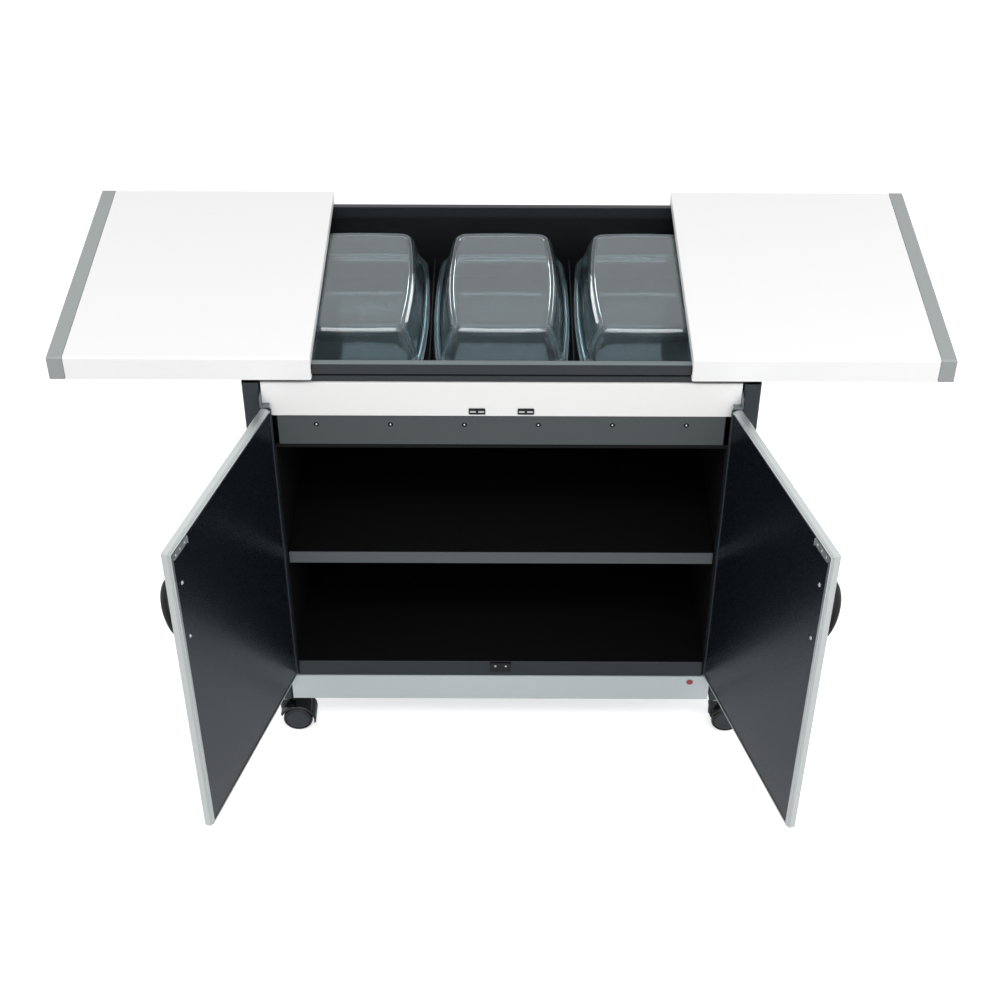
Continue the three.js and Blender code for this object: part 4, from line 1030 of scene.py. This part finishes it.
@dataclass
class Castor:
    """A hooded twin-wheel castor.

    The hood is an arch round the wheels' axle, with rounded edges, a web between the wheels and a
    boss for the swivel stem. Its own axes start in the middle of the axle. Its sizes are in mm and
    degrees.
    """

    row: str
    side: Side
    wheel_radius: float = 25.0
    wheel_gap: float = 0.8
    width: float = 40.0
    web: float = 5.0
    web_hub: float = 7.0
    trail: float = 20.0
    axle_radius: float = 3.0
    axle_half: float = 18.0
    arch_inner: float = 27.5
    arch_outer: float = 31.0
    arch_round: float = 2.4
    arch_chamfer: float = 0.4
    arch_start: float = -12.0
    arch_end: float = 158.0
    boss_radius: float = 10.0
    boss_top: float = 40.0
    boss_sides: int = 48
    collar_radius: float = 9.5
    collar_top: float = 44.5
    stem_radius: float = 5.5
    stem_top: float = 73.0
    tread_round_inner: float = 2.5
    tread_round_outer: float = 3.5

    def __post_init__(self) -> None:
        """Finds the middle of the axle from the castor's nodes."""
        self.tag = f"{self.row}_{self.side.word}"
        self.body = f"castor_{self.tag}"
        low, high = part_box(f"castor_hood_{self.tag}")
        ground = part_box(f"castor_wheel_{self.tag}_outer")[0].z
        x, z = high.x - self.arch_outer * MM, ground + self.wheel_radius * MM
        self.centre = np.array([x, (low.y + high.y) / 2, z])

    def add(self, name: str, shape: Shape, finish: Finish, body: str, slot: str) -> Piece:
        """Adds a piece of the castor that is made in mm from the middle of the axle."""
        placed = (MM * shape[0] + self.centre, shape[1])
        return add_piece(f"{name}_{self.tag}", placed, finish, body, Shading.CREASED)

    def arch(self) -> Shape:
        """The hood's arch: a strip with rounded outer edges, carried round the axle."""
        half, low, high = self.width / 2, self.arch_inner, self.arch_outer
        r, chamfer = self.arch_round, self.arch_chamfer
        turn = np.linspace(0, TURN / 4, 6)
        edge = np.stack([high - r + r * np.sin(turn), -half + r - r * np.cos(turn)], axis=1)
        section = np.concatenate([[[low, -half + chamfer], [low + chamfer, -half]], edge])
        mirror = section[::-1] * [1, -1]
        return arc_swept(np.concatenate([section, mirror]), self.arch_start, self.arch_end, 40)

    def web_plate(self) -> Shape:
        """The flat web between the wheels, down to a small hub round the axle."""
        over = np.radians(np.linspace(self.arch_start, self.arch_end, 28))
        under = np.radians(np.linspace(self.arch_end, 360 + self.arch_start, 12))
        rim = (self.arch_inner + 0.5) * np.stack([np.cos(over), np.sin(over)], axis=1)
        hub = self.web_hub * np.stack([np.cos(under), np.sin(under)], axis=1)
        x, z = np.concatenate([rim, hub])[::-1].T
        y = self.web / 2 * np.array([[-1.0], [1.0]])
        points = np.stack(np.broadcast_arrays(x, y, z), axis=-1)
        return points.reshape(-1, 3), ring_faces(2, len(x))

    def boss(self) -> Shape:
        """The round boss over the swivel stem, whose foot follows the arch's inside."""
        angle = np.linspace(0, TURN, self.boss_sides, endpoint=False)
        radius = self.boss_radius * np.array([[1], [1], [0.96], [0.88]])
        x, y = radius * np.cos(angle) - self.trail, radius * np.sin(angle)
        z = self.boss_top - np.array([[0], [1.2], [0.35], [0]]) + np.zeros_like(x)
        z[0] = np.sqrt(np.maximum(self.arch_inner**2 - x[0] ** 2, 16.0)) + 0.2
        return np.stack([x, y, z], axis=-1).reshape(-1, 3), ring_faces(4, self.boss_sides)

    def collar(self) -> Shape:
        """The plated collar and stem, revolved and then stood upright over the trail."""
        wide, stem = self.collar_radius, self.stem_radius
        foot, mid, top = self.boss_top - 0.5, self.collar_top, self.stem_top
        radii = [PINHOLE, wide - 0.4, wide, wide, wide - 0.6, stem, stem, stem - 1, PINHOLE]
        heights = [foot, foot, foot + 0.6, mid - 0.6, mid, mid, top - 1, top, top]
        points, faces = revolved(np.column_stack([radii, heights]), 40)
        x, y, z = points.T
        return np.stack([x - self.trail, -z, y], axis=1), faces

    def make_hood(self) -> None:
        """Builds the hood, its web, boss and axle, and the plated collar and stem."""
        r, half = self.axle_radius, self.axle_half
        axle = [[PINHOLE, -half], [r, -half], [r, half], [PINHOLE, half]]
        for name, shape, finish, slot in (
            ("hood_arch", self.arch(), POLISHED_NYLON, "black_plastic"),
            ("hood_web", self.web_plate(), POLISHED_NYLON, "black_plastic"),
            ("hood_boss", self.boss(), POLISHED_NYLON, "black_plastic"),
            ("axle", revolved(np.array(axle), 24), ZINC_PLATE, "steel"),
            ("swivel_collar", self.collar(), ZINC_PLATE, "steel"),
        ):
            piece = self.add(name, shape, finish, self.body, slot)
            if name == "hood_arch":
                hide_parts(f"castor_hood_{self.tag}")

    def make_wheel(self, which: str) -> None:
        """Revolves one wheel: a rounded tread, and a smooth slate disc set into its face.

        Args:
            which: outer or inner.
        """
        outwards = -1.0 if (self.row == "front") == (which == "outer") else 1.0
        inner, outer, r = self.web / 2 + self.wheel_gap, self.width / 2, self.wheel_radius
        bore, cover = self.axle_radius + 0.35, self.axle_half + 0.3
        near, far = self.tread_round_inner, self.tread_round_outer
        turn = np.linspace(0, TURN / 4, 7)
        sine, cosine = np.sin(turn), np.cos(turn)
        tread_in = np.stack([r - near + near * sine, inner + near - near * cosine], axis=1)
        tread_out = np.stack([r - far + far * cosine, outer - far - 0.3 + far * sine], axis=1)
        start = np.array([[bore, inner + 0.4], [bore + 0.6, inner]])
        well = np.array([[r - 4.4, outer - 0.5], [r - 4.8, outer - 1.3], [PINHOLE, outer - 1.3]])
        core = np.array([[PINHOLE, cover], [bore, cover]])
        tyre = np.concatenate([start, tread_in, tread_out, well, core])
        fall = np.linspace(1, 0, 8)
        disc = np.stack([(r - 5.4) * fall + PINHOLE, outer - 0.55 * fall**3], axis=1)
        edge = np.array([[PINHOLE, outer - 1.4], [r - 5.2, outer - 1.4], [r - 5.2, outer - 0.8]])
        face = np.concatenate([edge, disc])
        rows = (("tyre", tyre, POLISHED_NYLON), ("disc", face, SLATE_WHEEL_FACE))
        for kind, profile, finish in rows:
            points, faces = revolved(profile, 72)
            if outwards < 0:
                points = points * [-1, -1, 1]
            name, body = f"wheel_{kind}_{which}", f"wheel_{self.tag}_{which}"
            piece = self.add(name, (points, faces), finish, body, "tread")
            if kind == "tyre":
                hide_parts(f"castor_wheel_{self.tag}_{which}")

    def build(self) -> None:
        """Makes the hood and both wheels."""
        self.make_hood()
        for which in ("outer", "inner"):
            self.make_wheel(which)
        log.info("castor %s done", self.tag)


# ------ Studio


@dataclass
class Studio:
    """A pale floor and backdrop, soft light, and the camera of the photograph.

    Its sizes are in metres, its angles in degrees and its lens in mm.
    """

    lens: float = 63.66
    tilt: float = 48.9
    distance: float = 2.0923
    height: float = 2.2559
    roll: float = 0.2
    shift: tuple[float, float] = (-0.001, 0.04)
    floor_half: float = 12.0
    floor_colour: float = 0.9
    floor_glow: float = 0.55
    world_fill: float = 0.56

    def add_camera(self) -> None:
        """Puts the camera where it sees the trolley as the photograph does."""
        data = bpy.data.cameras.new("camera")
        data.lens = self.lens
        data.sensor_width = 36.0
        data.shift_x, data.shift_y = self.shift
        data.clip_end = 50.0
        camera = bpy.data.objects.new("camera", data)
        camera.location = (0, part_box("post_front_left")[0].y - self.distance, self.height)
        camera.rotation_mode = "ZYX"
        camera.rotation_euler = (math.radians(self.tilt), 0, math.radians(self.roll))
        bpy.context.scene.collection.objects.link(camera)
        bpy.context.scene.camera = camera

    def add_floor(self) -> None:
        """Lays a floor that shows white and still takes the trolley's shadow."""
        points = self.floor_half * np.array([[-1, -1, 0], [1, -1, 0], [1, 1, 0], [-1, 1, 0]])
        material = bpy.data.materials.new("studio_floor")
        tree = fresh_tree(material)
        grey = (*[self.floor_colour] * 3, 1.0)
        plain = add_node(tree, "BsdfDiffuse", values={"Color": grey}).outputs["BSDF"]
        glow = add_node(tree, "Emission", values={"Color": WHITE, "Strength": self.floor_glow})
        lit = add_node(tree, "AddShader", links={0: plain, 1: glow.outputs["Emission"]})
        seen = add_node(tree, "LightPath").outputs["Is Camera Ray"]
        pick = add_node(tree, "MixShader", links={0: seen, 1: plain, 2: lit.outputs["Shader"]})
        add_node(tree, "OutputMaterial", links={"Surface": pick.outputs["Shader"]})
        mesh_piece("studio_floor", (points, [[0, 1, 2, 3]]), material, Shading.FLAT)

    def add_world(self) -> None:
        """Lights the scene from all round, and shows white to camera, gloss and glass."""
        world = bpy.data.worlds.new("studio")
        bpy.context.scene.world = world
        tree = fresh_tree(world)
        rays = add_node(tree, "LightPath").outputs
        shown = rays["Is Camera Ray"]
        for ray in ("Is Glossy Ray", "Is Transmission Ray"):
            either = {0: shown, 1: rays[ray]}
            shown = add_node(tree, "Math", {"operation": "MAXIMUM"}, links=either).outputs[0]
        mixed = {0: shown}
        for socket, strength in ((1, self.world_fill), (2, 1.0)):
            light = add_node(tree, "Background", values={"Color": WHITE, "Strength": strength})
            mixed[socket] = light.outputs["Background"]
        pick = add_node(tree, "MixShader", links=mixed)
        add_node(tree, "OutputWorld", links={"Surface": pick.outputs["Shader"]})

    def add_lamps(self) -> None:
        """Adds the soft boxes: place, target and size in metres, and power in watts."""
        for name, place, target, size, power in (
            ("key_box", (-0.3, -1.7, 3.0), (0, 0, 0.75), (3.4, 0.7), 39),
            ("fill_box", (1.6, -1.4, 2.4), (0, 0, 0.5), (1.6, 1.6), 15),
            ("rim_box_left", (-1.7, 2.6, 1.0), (0, 0.1, 0.8), (0.6, 1.0), 10),
            ("rim_box_right", (1.7, 2.6, 1.0), (0, 0.1, 0.8), (0.6, 1.0), 10),
        ):
            data = bpy.data.lights.new(name, "AREA")
            data.shape = "RECTANGLE"
            data.size, data.size_y = size
            data.energy = power
            lamp = bpy.data.objects.new(name, data)
            lamp.location = place
            aim = Vector(target) - Vector(place)
            lamp.rotation_euler = aim.to_track_quat("-Z", "Y").to_euler()
            bpy.context.scene.collection.objects.link(lamp)

    def build(self) -> None:
        """Sets up the whole studio."""
        bpy.context.scene.view_settings.view_transform = "Standard"
        self.add_camera()
        self.add_floor()
        self.add_world()
        self.add_lamps()
        log.info("studio done")


def main() -> None:
    """Builds the studio and the trolley, sub-assembly by sub-assembly."""
    logging.basicConfig(level=logging.INFO, format="%(message)s")
    Studio().build()
    Cabinet().build()
    for place in ("left", "middle", "right"):
        Casserole(place).build()
    for side in Side:
        SlidingTop(side).build()
        Door(side).build()
        for row in ("front", "rear"):
            Castor(row, side).build()


if __name__ == "__main__":
    main()
